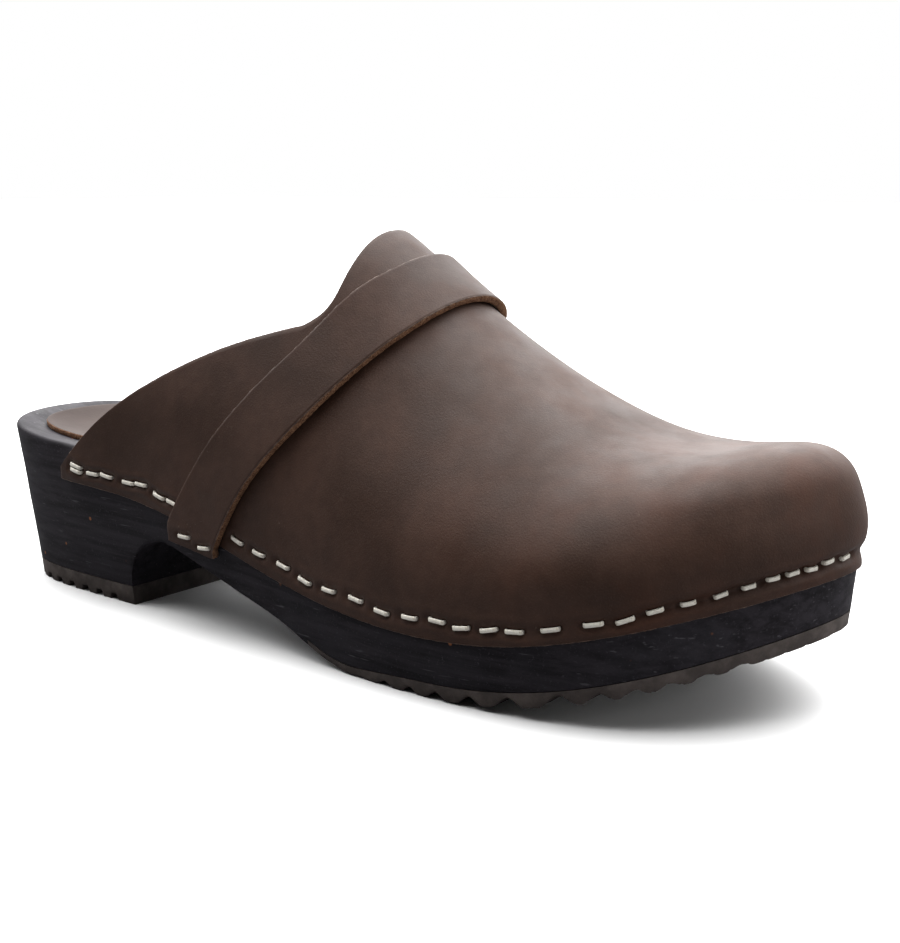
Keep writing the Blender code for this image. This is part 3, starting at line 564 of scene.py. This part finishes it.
def staple_places():
    """{CAD node name: (side, x, height, tilt, through_strap)} for every staple."""
    places = {}
    for label, side, row in (("outer", -1, OUTER_STAPLES), ("inner", 1, INNER_STAPLES)):
        for i, (x, height) in enumerate(row):
            tilt = STAPLE_TILTS[i % len(STAPLE_TILTS)]
            places[f"staple_{label}_{i + 1:02d}"] = (side, x, height, tilt, False)
        for i, x in enumerate(STRAP_STAPLES):
            places[f"staple_strap_{label}_{i + 1}"] = (side, x, STRAP_STAPLE_HEIGHT, -STAPLE_TILTS[i], True)
    for i, rise in enumerate((-DOUBLED_RISE, DOUBLED_RISE)):
        places[f"staple_doubled_{i + 1}"] = (-1, DOUBLED_STAPLE, STAPLE_HEIGHT + rise, DOUBLED_TILT, False)
    return places


def press_staples(grid, normals, frames, reach=9.0):
    """Presses each staple's dimple and the two pits at its legs into the leather's face."""
    depth = np.zeros(grid.shape[:2])
    for place, axes in frames:
        near = np.abs(grid - place).max(axis=-1) < reach
        local = (grid[near] - place) @ axes.T
        half = STAPLE_CROWN / 2
        under = np.exp(-((local[:, 0] / (half + 0.6)) ** 6) - (local[:, 1] / DIMPLE_WIDTH) ** 2)
        ends = [(local[:, 0] - end) ** 2 + local[:, 1] ** 2 for end in (-half, half)]
        pits = sum(np.exp(-away / PIT_RADIUS**2) for away in ends)
        beside = ((np.abs(local[:, 1]) - PUFF_AWAY) / PUFF_WIDTH) ** 2
        puff = PUFF_HEIGHT * np.exp(-((local[:, 0] / (half + 1.5)) ** 2) - beside)
        depth[near] += DIMPLE_DEPTH * under + PIT_DEPTH * pits - puff
    return grid - normals * depth[..., None]


def uneven(points, size, amount, seed):
    """A smooth random height for each point, with features of that size."""
    flat = points.reshape(-1, 3) / size
    heights = [noise.noise(Vector(p) + Vector((seed, 0, 0))) for p in flat]
    return np.reshape(heights, points.shape[:-1]) * amount


# ---- Upper ----


def upper_rows():
    """x values on the leather's edge where the mesh rows start, and how many of them end on the opening."""
    xs = outline.stations(UPPER_REAR_X, outline.front_x, ROW_SPACING)
    tab_start, tab_end = QUARTER_EDGE[-1][0], QUARTER_EDGE[-1][0] + TAB_SPREAD
    for x in (tab_start, tab_end):
        xs[np.abs(xs - x).argmin()] = x
    return xs, int((xs <= tab_end).sum())


def upper_grids(frames):
    """The upper's outer and inner face: rows round the sole, columns up to the opening."""
    xs, open_rows = upper_rows()
    end_x, end_turn = row_end(xs)
    fine = np.linspace(0, 1, 260)
    shares = np.linspace(0, 1, UPPER_COLUMNS) ** 1.5
    sides = []
    for side in (-1, 1):
        curves = upper_point(side, xs[:, None] + (end_x - xs)[:, None] * fine, end_turn[:, None] * fine)
        steps = np.linalg.norm(np.diff(curves, axis=1), axis=-1)
        run = np.concatenate([np.zeros((len(xs), 1)), np.cumsum(steps, axis=1)], axis=1)
        rows = [
            np.stack([np.interp(row_run[-1] * shares, row_run, c) for c in curve.T], -1)
            for row_run, curve in zip(run, curves)
        ]
        sides.append(np.array(rows))
    smooth = np.concatenate([sides[0], sides[1][::-1][1:]])
    row_x = np.concatenate([xs, xs[::-1][1:]])
    heights = np.linalg.norm(smooth - smooth[:, :1], axis=-1)
    normals = grid_normals(smooth, smooth - np.array([20.0, 0.0, 20.0]))
    ridge = slice(open_rows - 1, len(smooth) - open_rows + 1)
    normals[ridge, -1] = unit(normals[ridge, -1] + normals[ridge, -1][::-1])
    fade = 1 - shares**6
    lift = leather_draw(row_x[:, None], heights) * fade + uneven(smooth, 26.0, LEATHER_UNEVEN, 3.0) * fade
    lifted = smooth + normals * lift[..., None]
    return press_staples(lifted, normals, frames), lifted - normals * LEATHER_THICK, open_rows


def make_upper(materials, frames):
    """The upper, open along the rows that end on the heel's opening and the tab."""
    outer, inner, open_rows = upper_grids(frames)
    leather_sheet("upper_leather", outer, inner, materials, ["upper"], open_rows)


# ---- Instep strap ----


def strap_tail(across):
    """How far the strap's end reaches below the leather's edge."""
    return STRAP_TAIL_REAR + (STRAP_TAIL_FRONT - STRAP_TAIL_REAR) * across


def strap_point(side, across, turn):
    """Points on the strap's inner face. Below the upper's edge turn is negative, down to -1 at its end."""
    above = np.maximum(turn, 0.0)
    rear, front = strap_rear_x(above), strap_front_x(above)
    x = rear + (front - rear) * across
    place, normal, _ = upper_frame(side, x, above)
    over = place + normal * STRAP_GAP
    x = x + STRAP_TAIL_SWEEP * turn
    proud = proud_at(x) + STRAP_GAP
    proud = proud + (STRAP_GAP - proud) * smooth_step(-turn, STRAP_DRAW_IN, 1.0)
    tail = wall_point(side, x, edge_z(x) + strap_tail(across) * turn, proud)
    return np.where((turn >= 0)[..., None], over, tail)


def make_strap(materials, frames):
    """Rows of points across the strap, from its outer end over the ridge to its inner end."""
    turns = np.concatenate([np.linspace(-1, 0, 14)[:-1], np.linspace(0, math.pi / 2, 130)])
    turn, across = np.meshgrid(turns, np.linspace(0, 1, 30), indexing="ij")
    inner = np.concatenate([strap_point(-1, across, turn), strap_point(1, across, turn)[::-1][1:]])
    normals = grid_normals(inner, inner - np.array([0.0, 0.0, 40.0]))
    wander = np.minimum(uneven(inner, 18.0, STRAP_UNEVEN, 11.0), 0.2)
    outer = press_staples(inner + normals * (STRAP_THICK + wander)[..., None], normals, frames)
    leather_sheet("strap_leather", outer, inner, materials, ["instep_strap"], len(outer))


# ---- Wooden sole ----


def sole_stations(spacing):
    """x values along the sole, with the hollow's and the tread's start among them."""
    breast = HEEL_BREAST_X + BREAST_RADIUS * (1 - np.cos(np.linspace(0, math.pi / 2, 30)))
    start = np.array([SOLE_TREAD_START_X - 0.3, SOLE_TREAD_START_X])
    even = outline.stations(outline.rear_x, outline.front_x, spacing)
    fixed = np.concatenate([breast, start])
    even = even[np.abs(even[:, None] - fixed).min(axis=1) > 0.4]
    return np.unique(np.concatenate([even, fixed]))


def around(xs, point_of):
    """A ring of points: point_of(side, x) out along the outer side and back along the inner one."""
    return np.concatenate([point_of(-1, xs), point_of(1, xs[1:-1])[::-1]])


def between(start, corner, end, share):
    """A point on the rounded corner between two rings."""
    return start * (1 - share) ** 2 + 2 * corner * share * (1 - share) + end * share**2


def cross_strips(first, count):
    """Faces across a ring that runs out on one side and back on the other, ends included."""
    faces = []
    for i in range(count // 2):
        corners = [first + i, first + i + 1, first + (count - i - 1) % count, first + (count - i) % count]
        faces.append(tuple(dict.fromkeys(corners)))
    return faces


def bottom_round(x):
    """The radius of the wood's lower edge: larger where no tread covers it."""
    bare = smooth_step(x, HEEL_BREAST_X, HEEL_BREAST_X + 8) * (1 - smooth_step(x, -6, SOLE_TREAD_START_X))
    return WOOD_ROUND + BARE_WOOD_ROUND * bare


def make_sole(materials):
    """The block, as rings of points from its foot up the side, over the rim and in over the footbed."""
    xs = sole_stations(1.1)

    def wall(z, inset=np.zeros_like):
        return around(xs, lambda side, x: wall_point(side, x, z(x), -inset(x)))

    def under_leather(side, x, share):
        low, high = edge_z(x) - GAP + LEDGE_RISE, rim_z(x) - RIM_ROUND
        return lining_point(side, x, low * (1 - share) + high * share)

    low_in = wall(wood_bottom_z, bottom_round)
    low_corner = wall(wood_bottom_z)
    low_out = wall(lambda x: wood_bottom_z(x) + bottom_round(x))
    rings = [between(low_in, low_corner, low_out, s) for s in (0, 0.25, 0.5, 0.75, 1)]
    top_of_wall = wall(lambda x: edge_z(x) - GAP)
    for share in (0.2, 0.4, 0.6, 0.8, 0.96, 1):
        rings.append(low_out + (top_of_wall - low_out) * share)
    for share in (0, 0.25, 0.5, 0.75, 1):
        rings.append(around(xs, lambda side, x, s=share: under_leather(side, x, s)))
    rim_low = rings[-1]
    rim_corner = around(xs, lambda side, x: lining_point(side, x, rim_z(x)))
    rim_in = around(xs, lambda side, x: footbed_point(side, x, RIM_SHARE))
    rings += [between(rim_low, rim_corner, rim_in, s) for s in (0.15, 0.3, 0.45, 0.6, 0.75, 0.9, 1)]
    for share in (0.93, 0.88, 0.8, 0.7, 0.6, 0.5, 0.4, 0.3, 0.2, 0.1):
        rings.append(around(xs, lambda side, x, s=share: footbed_point(side, x, s)))
    grid = np.array(rings)
    grid[5:18, :, :2] += uneven(grid[5:18], 14.0, 0.16, 5.0)[..., None] * 0.7
    count = grid.shape[1]
    faces = grid_faces(count, len(rings), closed=True)
    points = grid.transpose(1, 0, 2).reshape(-1, 3)
    bottom = [i * len(rings) for i in range(count)]
    top = [i * len(rings) + len(rings) - 1 for i in range(count)]
    for ring in (bottom, top):
        faces += [tuple(ring[i] for i in strip) for strip in cross_strips(0, count)]
    made = new_object("sole_wood", points, faces, materials, ["wooden_sole"])
    made.data.set_sharp_from_angle(angle=math.radians(40))


# ---- Treads and insole ----


def groove_depth(x, grooves, sharp):
    """How far the tread's underside is cut away at x. sharp is the share of a groove that is its flat top."""
    depth = np.zeros_like(x)
    for middle, half, deep in grooves:
        depth = np.maximum(depth, deep * (1 - smooth_step(np.abs(x - middle), half * sharp, half)))
    return depth


def make_tread(name, low, high, floor_z, materials, replaces):
    """A grooved rubber tread between two x values, under the wood's underside."""
    xs = np.unique(np.concatenate([outline.stations(low, high, 0.45), np.linspace(low, high, 260)]))
    xs = xs[np.concatenate([[True], np.diff(xs) > 0.05])]
    xs[-1] = high
    square_rear, square_front = low > outline.rear_x + 1, high < outline.front_x - 1

    def ring(point_of):
        back = xs[(0 if square_rear else 1) : (len(xs) if square_front else -1)][::-1]
        return np.concatenate([point_of(-1, xs), point_of(1, back)])

    roof = ring(lambda side, x: wall_point(side, x, wood_bottom_z(x) - GAP * 0.5))
    side_low = ring(lambda side, x: wall_point(side, x, floor_z(x) + RUBBER_ROUND))
    corner = ring(lambda side, x: wall_point(side, x, floor_z(x)))
    inside = ring(lambda side, x: wall_point(side, x, floor_z(x), -RUBBER_ROUND))
    deeper = ring(lambda side, x: wall_point(side, x, floor_z(x), -2.0))
    rings = [roof, roof + (side_low - roof) * 0.5]
    rings += [between(side_low, corner, inside, s) for s in (0, 0.5, 1)] + [deeper]
    grid = np.array(rings)
    grid[1:5, :, :2] += uneven(grid[1:5], 5.0, 0.12, 8.0)[..., None]
    count = grid.shape[1]
    faces = grid_faces(count, len(rings), closed=True)
    points = grid.transpose(1, 0, 2).reshape(-1, 3)
    shift = 1 if square_rear else 0
    for layer in (0, len(rings) - 1):
        for i in range(len(xs) - 1):
            ids = [i, i + 1, (count - i - 1 - shift) % count, (count - i - shift) % count]
            faces.append(tuple(k * len(rings) + layer for k in dict.fromkeys(ids)))
    made = new_object(name, points, faces, materials, replaces)
    made.data.set_sharp_from_angle(angle=math.radians(50))


def heel_floor(x):
    return groove_depth(x, HEEL_GROOVES, HEEL_GROOVE_FLAT)


def sole_floor(x):
    """Lugs between the grooves, each with small notches of its own."""
    wave = np.maximum(0.0, np.cos(x * 2 * math.pi / LUG_NOTCH_PITCH)) ** 6
    notches = LUG_NOTCH * wave * smooth_step(x, 70, 95)
    return np.maximum(0.0, underside_z(x)) + groove_depth(x, SOLE_GROOVES, 0) + notches


def make_insole(materials):
    """A sheet on the footbed, with a rounded upper edge. materials: its face and its cut edge."""
    xs = outline.stations(outline.rear_x, outline.front_x, 1.6)

    def share_of(side, x, inset):
        rim = lining_point(side, x, rim_z(x))
        middle = footbed_point(side, x, 0.0)
        return np.maximum(INSOLE_LEAST_SHARE, 1 - inset / np.linalg.norm((rim - middle)[..., :2], axis=-1))

    def level(inset, lift, scale=1.0):
        return around(xs, lambda side, x: footbed_point(side, x, share_of(side, x, inset) * scale, lift))

    low, high = GAP * 0.3, GAP + INSOLE_THICK * 0.75
    profile = [(6, low), (0.1, low), (0, low + 0.2), (0, high - 0.35), (0.12, high - 0.1), (0.4, high)]
    rings = [level(INSOLE_INSET + more, lift) for more, lift in profile]
    rings += [level(INSOLE_INSET + 0.4, high, s) for s in (0.97, 0.9, 0.8, 0.7, 0.6, 0.5, 0.4, 0.3, 0.2, 0.1)]
    grid = np.array(rings)
    grid[6:, :, 2] += uneven(grid[6:], 22.0, 0.3, 21.0)
    count = grid.shape[1]
    faces = grid_faces(count, len(rings), closed=True)
    kinds = [1 if i % (len(rings) - 1) < 4 else 0 for i in range(len(faces))]
    points = grid.transpose(1, 0, 2).reshape(-1, 3)
    for layer in (0, len(rings) - 1):
        strips = cross_strips(0, count)
        faces += [tuple(i * len(rings) + layer for i in strip) for strip in strips]
        kinds += [0] * len(strips)
    new_object("insole_leather_sock", points, faces, materials, ["insole"], kinds)


# ---- Staples ----


def staple_path(bow):
    """(x, z) along the middle of a staple's wire, from one leg's tip to the other's."""
    top = STAPLE_THICK / 2
    corner_x = STAPLE_CROWN / 2 - top
    flat_x = corner_x - WIRE_BEND
    turns = np.linspace(0, math.pi / 2, 7)
    path = [(corner_x - LEG_LEAN * STAPLE_LEG, -STAPLE_LEG), (corner_x - 0.25, -1.2)]
    path += [(flat_x + WIRE_BEND * math.cos(a), top - WIRE_BEND + WIRE_BEND * math.sin(a)) for a in turns]
    path += [(x, top + bow * (1 - (x / flat_x) ** 2)) for x in np.linspace(flat_x, 0, 5)[1:]]
    return path + [(-x, z) for x, z in reversed(path[:-1])]


def make_staple_mesh(name, bow, material):
    """A staple of flat wire with rounded corners, in its own axes: crown along X, out of the leather +Z."""
    path = np.array(staple_path(bow))
    along = unit(np.gradient(path, axis=0))
    across = np.stack([-along[:, 1], along[:, 0]], -1)
    angles = np.linspace(0, 2 * math.pi, 14, endpoint=False) + math.pi / 14
    wide, thick = (
        np.sign(wave) * np.abs(wave) ** WIRE_SQUARENESS * size / 2
        for wave, size in ((np.cos(angles), STAPLE_WIRE), (np.sin(angles), STAPLE_THICK))
    )
    taper = np.ones(len(path))
    taper[[0, -1]] = 0.3  # the legs' tips are cut to a wedge
    section = path[:, None] + across[:, None] * (thick * taper[:, None])[..., None]
    rings = np.stack([section[..., 0], np.broadcast_to(wide, section.shape[:2]), section[..., 1]], -1)
    points = rings.transpose(1, 0, 2).reshape(-1, 3) * MM
    count, sides = len(path), len(angles)
    faces = grid_faces(sides, count, closed=True)
    faces += [[i * count + end for i in range(sides)] for end in (0, count - 1)]
    return new_mesh(name, points, faces, [material])


def make_staples(frames, material):
    """Every staple's wire. Those round the toe are shorter, so that they stay apart."""
    meshes = [make_staple_mesh(f"staple_{i}", bow, material) for i, bow in enumerate((0.0, 0.12, -0.06))]
    for i, (name, (place, axes)) in enumerate(frames.items()):
        made = bpy.data.objects.new(name + "_wire", meshes[i % len(meshes)])
        short = 1 - TOE_CROWN_LOSS * smooth_step(place[0], TOE_PINCH_START_X, TOE_CROWN_LOSS_X)
        axes = axes * np.array([[short], [CROWN_SLIM], [1.0]])
        matrix = Matrix(axes.tolist()).transposed().to_4x4()
        matrix.translation = Vector((place - MIDDLE) * MM)
        made.matrix_world = matrix
        bpy.context.scene.collection.objects.link(made)
        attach(made, "root")
        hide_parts(name)


# ---- Materials ----


RANGE_SOCKETS = ("From Min", "From Max", "To Min", "To Max")


class Nodes:
    """A short way to write a material's nodes."""

    def __init__(self, name):
        self.material = bpy.data.materials.new(name)
        self.material.use_nodes = True
        self.tree = self.material.node_tree
        self.shader = self.tree.nodes["Principled BSDF"]
        self.place = self.tree.nodes.new("ShaderNodeTexCoord").outputs["Object"]

    def node(self, kind, **settings):
        made = self.tree.nodes.new(kind)
        for key, value in settings.items():
            setattr(made, key, value)
        return made

    def join(self, value, socket):
        """Links a socket, or sets a constant."""
        if isinstance(value, bpy.types.NodeSocket):
            self.tree.links.new(value, socket)
        else:
            socket.default_value = value

    def stretched(self, scale, turn=(0, 0, 0)):
        made = self.node("ShaderNodeMapping")
        self.join(self.place, made.inputs["Vector"])
        made.inputs["Scale"].default_value = scale
        made.inputs["Rotation"].default_value = turn
        return made.outputs["Vector"]

    def noise(self, scale, detail=4.0, rough=0.55, vector=None, distortion=0.0):
        made = self.node("ShaderNodeTexNoise")
        self.join(vector or self.place, made.inputs["Vector"])
        made.inputs["Scale"].default_value = scale
        made.inputs["Detail"].default_value = detail
        made.inputs["Roughness"].default_value = rough
        made.inputs["Distortion"].default_value = distortion
        return made.outputs["Fac"]

    def voronoi(self, scale, feature="F1", vector=None):
        made = self.node("ShaderNodeTexVoronoi", feature=feature)
        self.join(vector or self.place, made.inputs["Vector"])
        made.inputs["Scale"].default_value = scale
        return made.outputs

    def remap(self, value, low, high, to_low=0.0, to_high=1.0):
        made = self.node("ShaderNodeMapRange", interpolation_type="SMOOTHSTEP")
        self.join(value, made.inputs["Value"])
        for key, number in zip(RANGE_SOCKETS, (low, high, to_low, to_high)):
            made.inputs[key].default_value = number
        return made.outputs["Result"]

    def math(self, operation, a, b):
        made = self.node("ShaderNodeMath", operation=operation)
        self.join(a, made.inputs[0])
        self.join(b, made.inputs[1])
        return made.outputs[0]

    def mix(self, share, a, b):
        made = self.node("ShaderNodeMix", data_type="RGBA")
        self.join(share, made.inputs["Factor"])
        self.join(a if isinstance(a, bpy.types.NodeSocket) else (*a, 1), made.inputs[6])
        self.join(b if isinstance(b, bpy.types.NodeSocket) else (*b, 1), made.inputs[7])
        return made.outputs[2]

    def split(self, value):
        """The X, Y and Z of a vector or a colour."""
        made = self.node("ShaderNodeSeparateXYZ")
        self.join(value, made.inputs[0])
        return made.outputs

    def bump(self, value, strength, distance, before=None):
        made = self.node("ShaderNodeBump")
        self.join(value, made.inputs["Height"])
        made.inputs["Strength"].default_value = strength
        made.inputs["Distance"].default_value = distance
        if before:
            self.join(before, made.inputs["Normal"])
        return made.outputs["Normal"]

    def finish(self, colour, roughness, normal=None, **constants):
        self.join(colour, self.shader.inputs["Base Color"])
        self.join(roughness, self.shader.inputs["Roughness"])
        if normal:
            self.join(normal, self.shader.inputs["Normal"])
        for key, value in constants.items():
            self.shader.inputs[key.replace("_", " ")].default_value = value
        return self.material


def grain_leather():
    """Oiled dark brown nubuck: cloudy colour, fine nap, small pale scuffs and a redder tone near the toe."""
    n = Nodes("brown_nubuck")
    clouds = n.noise(34, detail=3)
    mottle = n.noise(260, detail=4)
    nap = n.noise(2600, detail=3, rough=0.6)
    colour = n.mix(n.remap(clouds, 0.35, 0.65), (0.036, 0.0165, 0.0100), (0.058, 0.0285, 0.0190))
    colour = n.mix(n.remap(mottle, 0.3, 0.75, 0.0, 0.35), colour, (0.026, 0.0115, 0.0075))
    colour = n.mix(n.remap(nap, 0.45, 0.8, 0.0, 0.3), colour, (0.088, 0.056, 0.042))
    to_toe = n.remap(n.split(n.place)["X"], 0.02, 0.12)
    red = n.math("MULTIPLY", to_toe, n.remap(n.noise(60, detail=5), 0.42, 0.72, 0.0, 0.5))
    colour = n.mix(red, colour, (0.070, 0.026, 0.014))
    scuffed = n.remap(n.noise(45, detail=2), 0.55, 0.7)
    scuffs = n.math("MULTIPLY", n.remap(n.noise(900, detail=2), 0.68, 0.75), scuffed)
    colour = n.mix(n.math("MULTIPLY", scuffs, 0.35), colour, (0.2, 0.15, 0.12))
    pores = n.voronoi(1700)["Distance"]
    normal = n.bump(pores, 0.12, 0.0002)
    normal = n.bump(nap, 0.25, 0.0002, normal)
    normal = n.bump(n.noise(120, detail=3), 0.12, 0.0006, normal)
    roughness = n.remap(n.noise(70, detail=4), 0.3, 0.7, 0.52, 0.64)
    return n.finish(colour, roughness, normal, Specular_IOR_Level=0.22)


def flesh_leather():
    """The suede inside."""
    n = Nodes("leather_flesh_side")
    fluff = n.noise(1400, detail=5, rough=0.7)
    colour = n.mix(n.remap(fluff, 0.3, 0.7), (0.085, 0.053, 0.036), (0.155, 0.104, 0.074))
    colour = n.mix(n.remap(n.noise(50, detail=3), 0.35, 0.7, 0.0, 0.5), colour, (0.075, 0.045, 0.03))
    normal = n.bump(fluff, 0.5, 0.0004)
    return n.finish(colour, 0.92, normal, Sheen_Weight=0.25, Sheen_Roughness=0.6)


def cut_leather():
    """The raw cut edge: orange-tan fibres with dark gaps."""
    n = Nodes("leather_cut_edge")
    fibres = n.noise(2300, detail=6, rough=0.75, distortion=0.6)
    tufts = n.noise(520, detail=3)
    colour = n.mix(n.remap(fibres, 0.34, 0.66), (0.085, 0.036, 0.019), (0.44, 0.24, 0.135))
    colour = n.mix(n.remap(tufts, 0.4, 0.75, 0.0, 0.6), colour, (0.10, 0.048, 0.027))
    normal = n.bump(fibres, 0.9, 0.0004)
    normal = n.bump(tufts, 0.5, 0.0008, normal)
    return n.finish(colour, 0.9, normal, Specular_IOR_Level=0.2)


def corner_wear_and_highlight():
    """The rubbed corner between the grain side and the cut edge, lighter than the grain side: partly wear,
    partly a painted highlight along the edge.
    """
    n = Nodes("leather_corner_wear_and_highlight")
    rub = n.noise(700, detail=4, rough=0.65)
    # Painted highlight: these lighter browns stand partly for rubbed wear and partly for light caught along
    # the edge.
    colour = n.mix(n.remap(rub, 0.35, 0.7), (0.06, 0.034, 0.023), (0.17, 0.105, 0.072))
    normal = n.bump(n.noise(2400, detail=3), 0.3, 0.0002)
    return n.finish(colour, 0.62, normal)


def stained_wood():
    """Wood stained blue-black: faint grain along the sole, cloudy stain, scratches and bare flecks."""
    n = Nodes("stained_wood")
    grain = n.noise(1.0, detail=6, rough=0.6, vector=n.stretched((9, 260, 420)), distortion=0.4)
    fine = n.noise(1.0, detail=3, rough=0.6, vector=n.stretched((40, 1500, 1900)))
    clouds = n.noise(55, detail=5, rough=0.6)
    colour = n.mix(n.remap(grain, 0.3, 0.7), (0.0145, 0.0127, 0.0148), (0.038, 0.0335, 0.0395))
    colour = n.mix(n.remap(clouds, 0.42, 0.75, 0.0, 0.55), colour, (0.040, 0.038, 0.044))
    colour = n.mix(n.remap(fine, 0.55, 0.8, 0.0, 0.35), colour, (0.008, 0.007, 0.009))
    scratch = n.noise(1.0, detail=2, vector=n.stretched((60, 500, 900), turn=(0.3, 0.7, 0.4)))
    colour = n.mix(n.remap(scratch, 0.66, 0.74, 0.0, 0.6), colour, (0.11, 0.105, 0.115))
    cells = n.voronoi(260)
    picked = n.remap(n.split(cells["Color"])["X"], 0.93, 0.94)
    fleck = n.math("MULTIPLY", n.remap(cells["Distance"], 0.08, 0.2, 1.0, 0.0), picked)
    colour = n.mix(fleck, colour, (0.30, 0.12, 0.055))
    specks = n.noise(1500, detail=3, rough=0.7)
    colour = n.mix(n.remap(specks, 0.58, 0.7, 0.0, 0.55), colour, (0.075, 0.07, 0.082))
    normal = n.bump(grain, 0.25, 0.0003)
    normal = n.bump(fine, 0.2, 0.00015, normal)
    roughness = n.remap(clouds, 0.3, 0.7, 0.5, 0.68)
    return n.finish(colour, roughness, normal, Specular_IOR_Level=0.07)


def tread_rubber():
    """Matt dark rubber with ground dust."""
    n = Nodes("tread_rubber")
    dust = n.noise(160, detail=5, rough=0.65)
    pits = n.noise(2100, detail=3, rough=0.6)
    colour = n.mix(n.remap(dust, 0.35, 0.75), (0.070, 0.057, 0.052), (0.138, 0.114, 0.103))
    colour = n.mix(n.remap(pits, 0.6, 0.8, 0.0, 0.4), colour, (0.14, 0.12, 0.105))
    normal = n.bump(pits, 0.4, 0.0002)
    return n.finish(colour, 0.78, normal, Specular_IOR_Level=0.3)


def sock_leather():
    """Taupe-brown insole leather with a soft grain."""
    n = Nodes("insole_leather")
    clouds = n.noise(45, detail=4)
    grain = n.voronoi(1100, feature="SMOOTH_F1")["Distance"]
    colour = n.mix(n.remap(clouds, 0.35, 0.7), (0.038, 0.025, 0.021), (0.053, 0.036, 0.031))
    colour = n.mix(n.remap(n.noise(1500, detail=3), 0.45, 0.8, 0.0, 0.35), colour, (0.05, 0.033, 0.026))
    normal = n.bump(grain, 0.15, 0.0002)
    normal = n.bump(n.noise(260, detail=4), 0.1, 0.0004, normal)
    return n.finish(colour, 0.7, normal, Specular_IOR_Level=0.12)


def coated_wire():
    """Cream-coated staple wire, rubbed and stained in places."""
    n = Nodes("coated_wire")
    rub = n.noise(900, detail=4, rough=0.6)
    colour = n.mix(n.remap(rub, 0.4, 0.75), (0.92, 0.88, 0.78), (0.72, 0.66, 0.54))
    colour = n.mix(n.remap(n.noise(2600, detail=2), 0.66, 0.74, 0.0, 0.7), colour, (0.16, 0.11, 0.075))
    normal = n.bump(rub, 0.15, 0.0001)
    return n.finish(colour, 0.42, normal)


# ---- Stage ----


def make_world():
    """White surroundings, whose light comes mostly from above and behind the clog."""
    world = bpy.data.worlds.new("studio")
    world.use_nodes = True
    tree = world.node_tree
    place = tree.nodes.new("ShaderNodeTexCoord")
    facing = tree.nodes.new("ShaderNodeVectorMath")
    facing.operation = "DOT_PRODUCT"
    facing.inputs[1].default_value = Vector(BRIGHT_SIDE).normalized()
    share = tree.nodes.new("ShaderNodeMapRange")
    share.interpolation_type = "SMOOTHSTEP"
    for key, number in zip(RANGE_SOCKETS, (*BRIGHT_RANGE, DARK_LIGHT, BRIGHT_LIGHT)):
        share.inputs[key].default_value = number
    path = tree.nodes.new("ShaderNodeLightPath")
    strength = tree.nodes.new("ShaderNodeMix")
    strength.inputs[3].default_value = BACKGROUND_LIGHT
    background = tree.nodes["Background"]
    background.inputs["Color"].default_value = (1, 1, 1, 1)
    tree.links.new(place.outputs["Generated"], facing.inputs[0])
    tree.links.new(facing.outputs["Value"], share.inputs["Value"])
    tree.links.new(path.outputs["Is Camera Ray"], strength.inputs[0])
    tree.links.new(share.outputs["Result"], strength.inputs[2])
    tree.links.new(strength.outputs[0], background.inputs["Strength"])
    return world


def make_stage():
    """A plain pale floor, soft studio light and the camera."""
    n = Nodes("pale_floor")
    seen = n.mix(n.remap(n.noise(3, detail=2), 0.3, 0.7), (0.86, 0.86, 0.86), (0.88, 0.88, 0.88))
    path = n.node("ShaderNodeLightPath").outputs["Is Camera Ray"]
    material = n.finish(n.mix(path, FLOOR_BOUNCE, seen), 0.9, Specular_IOR_Level=0.1)
    mesh = bpy.data.meshes.new("floor")
    corners = [(x * FLOOR_HALF, y * FLOOR_HALF, 0) for x, y in ((-1, -1), (1, -1), (1, 1), (-1, 1))]
    mesh.from_pydata(corners, [], [(0, 1, 2, 3)])
    mesh.materials.append(material)
    floor = bpy.data.objects.new("floor", mesh)
    bpy.context.scene.collection.objects.link(floor)

    bpy.context.scene.world = make_world()
    for name, place, aim, size, power in LIGHTS:
        light = bpy.data.lights.new(name, "AREA")
        light.shape = "RECTANGLE"
        light.size, light.size_y = size
        light.energy = power
        lamp = bpy.data.objects.new(name, light)
        lamp.location = place
        lamp.rotation_euler = (Vector(aim) - Vector(place)).to_track_quat("-Z", "Y").to_euler()
        bpy.context.scene.collection.objects.link(lamp)

    camera = bpy.data.cameras.new("camera")
    camera.lens = CAMERA_LENS
    camera.sensor_width = 36.0
    camera.clip_start, camera.clip_end = 0.01, 50.0
    made = bpy.data.objects.new("camera", camera)
    made.location = CAMERA_PLACE
    made.rotation_euler = Vector(CAMERA_LOOK).to_track_quat("-Z", "Y").to_euler()
    bpy.context.scene.collection.objects.link(made)
    bpy.context.scene.camera = made
    bpy.context.scene.view_settings.view_transform = "Standard"


# ---- The clog ----


def make_clog():
    # The fourth leather material, the lighter corner strip, is partly wear and partly a painted highlight.
    leather = [grain_leather(), flesh_leather(), cut_leather(), corner_wear_and_highlight()]
    frames = {name: staple_frame(*place) for name, place in staple_places().items()}
    in_strap = {name: f for name, f in frames.items() if name.startswith("staple_strap")}
    in_upper = {name: f for name, f in frames.items() if name not in in_strap}
    make_upper(leather, in_upper.values())
    make_strap(leather, in_strap.values())
    make_sole([stained_wood()])
    rubber = [tread_rubber()]
    make_tread("heel_rubber", outline.rear_x, HEEL_BREAST_X, heel_floor, rubber, ["heel_tread"])
    make_tread("sole_rubber", SOLE_TREAD_START_X, outline.front_x, sole_floor, rubber, ["sole_tread"])
    make_insole([sock_leather(), leather[2]])
    make_staples(frames, coated_wire())


make_clog()
make_stage()
bpy.context.view_layer.update()
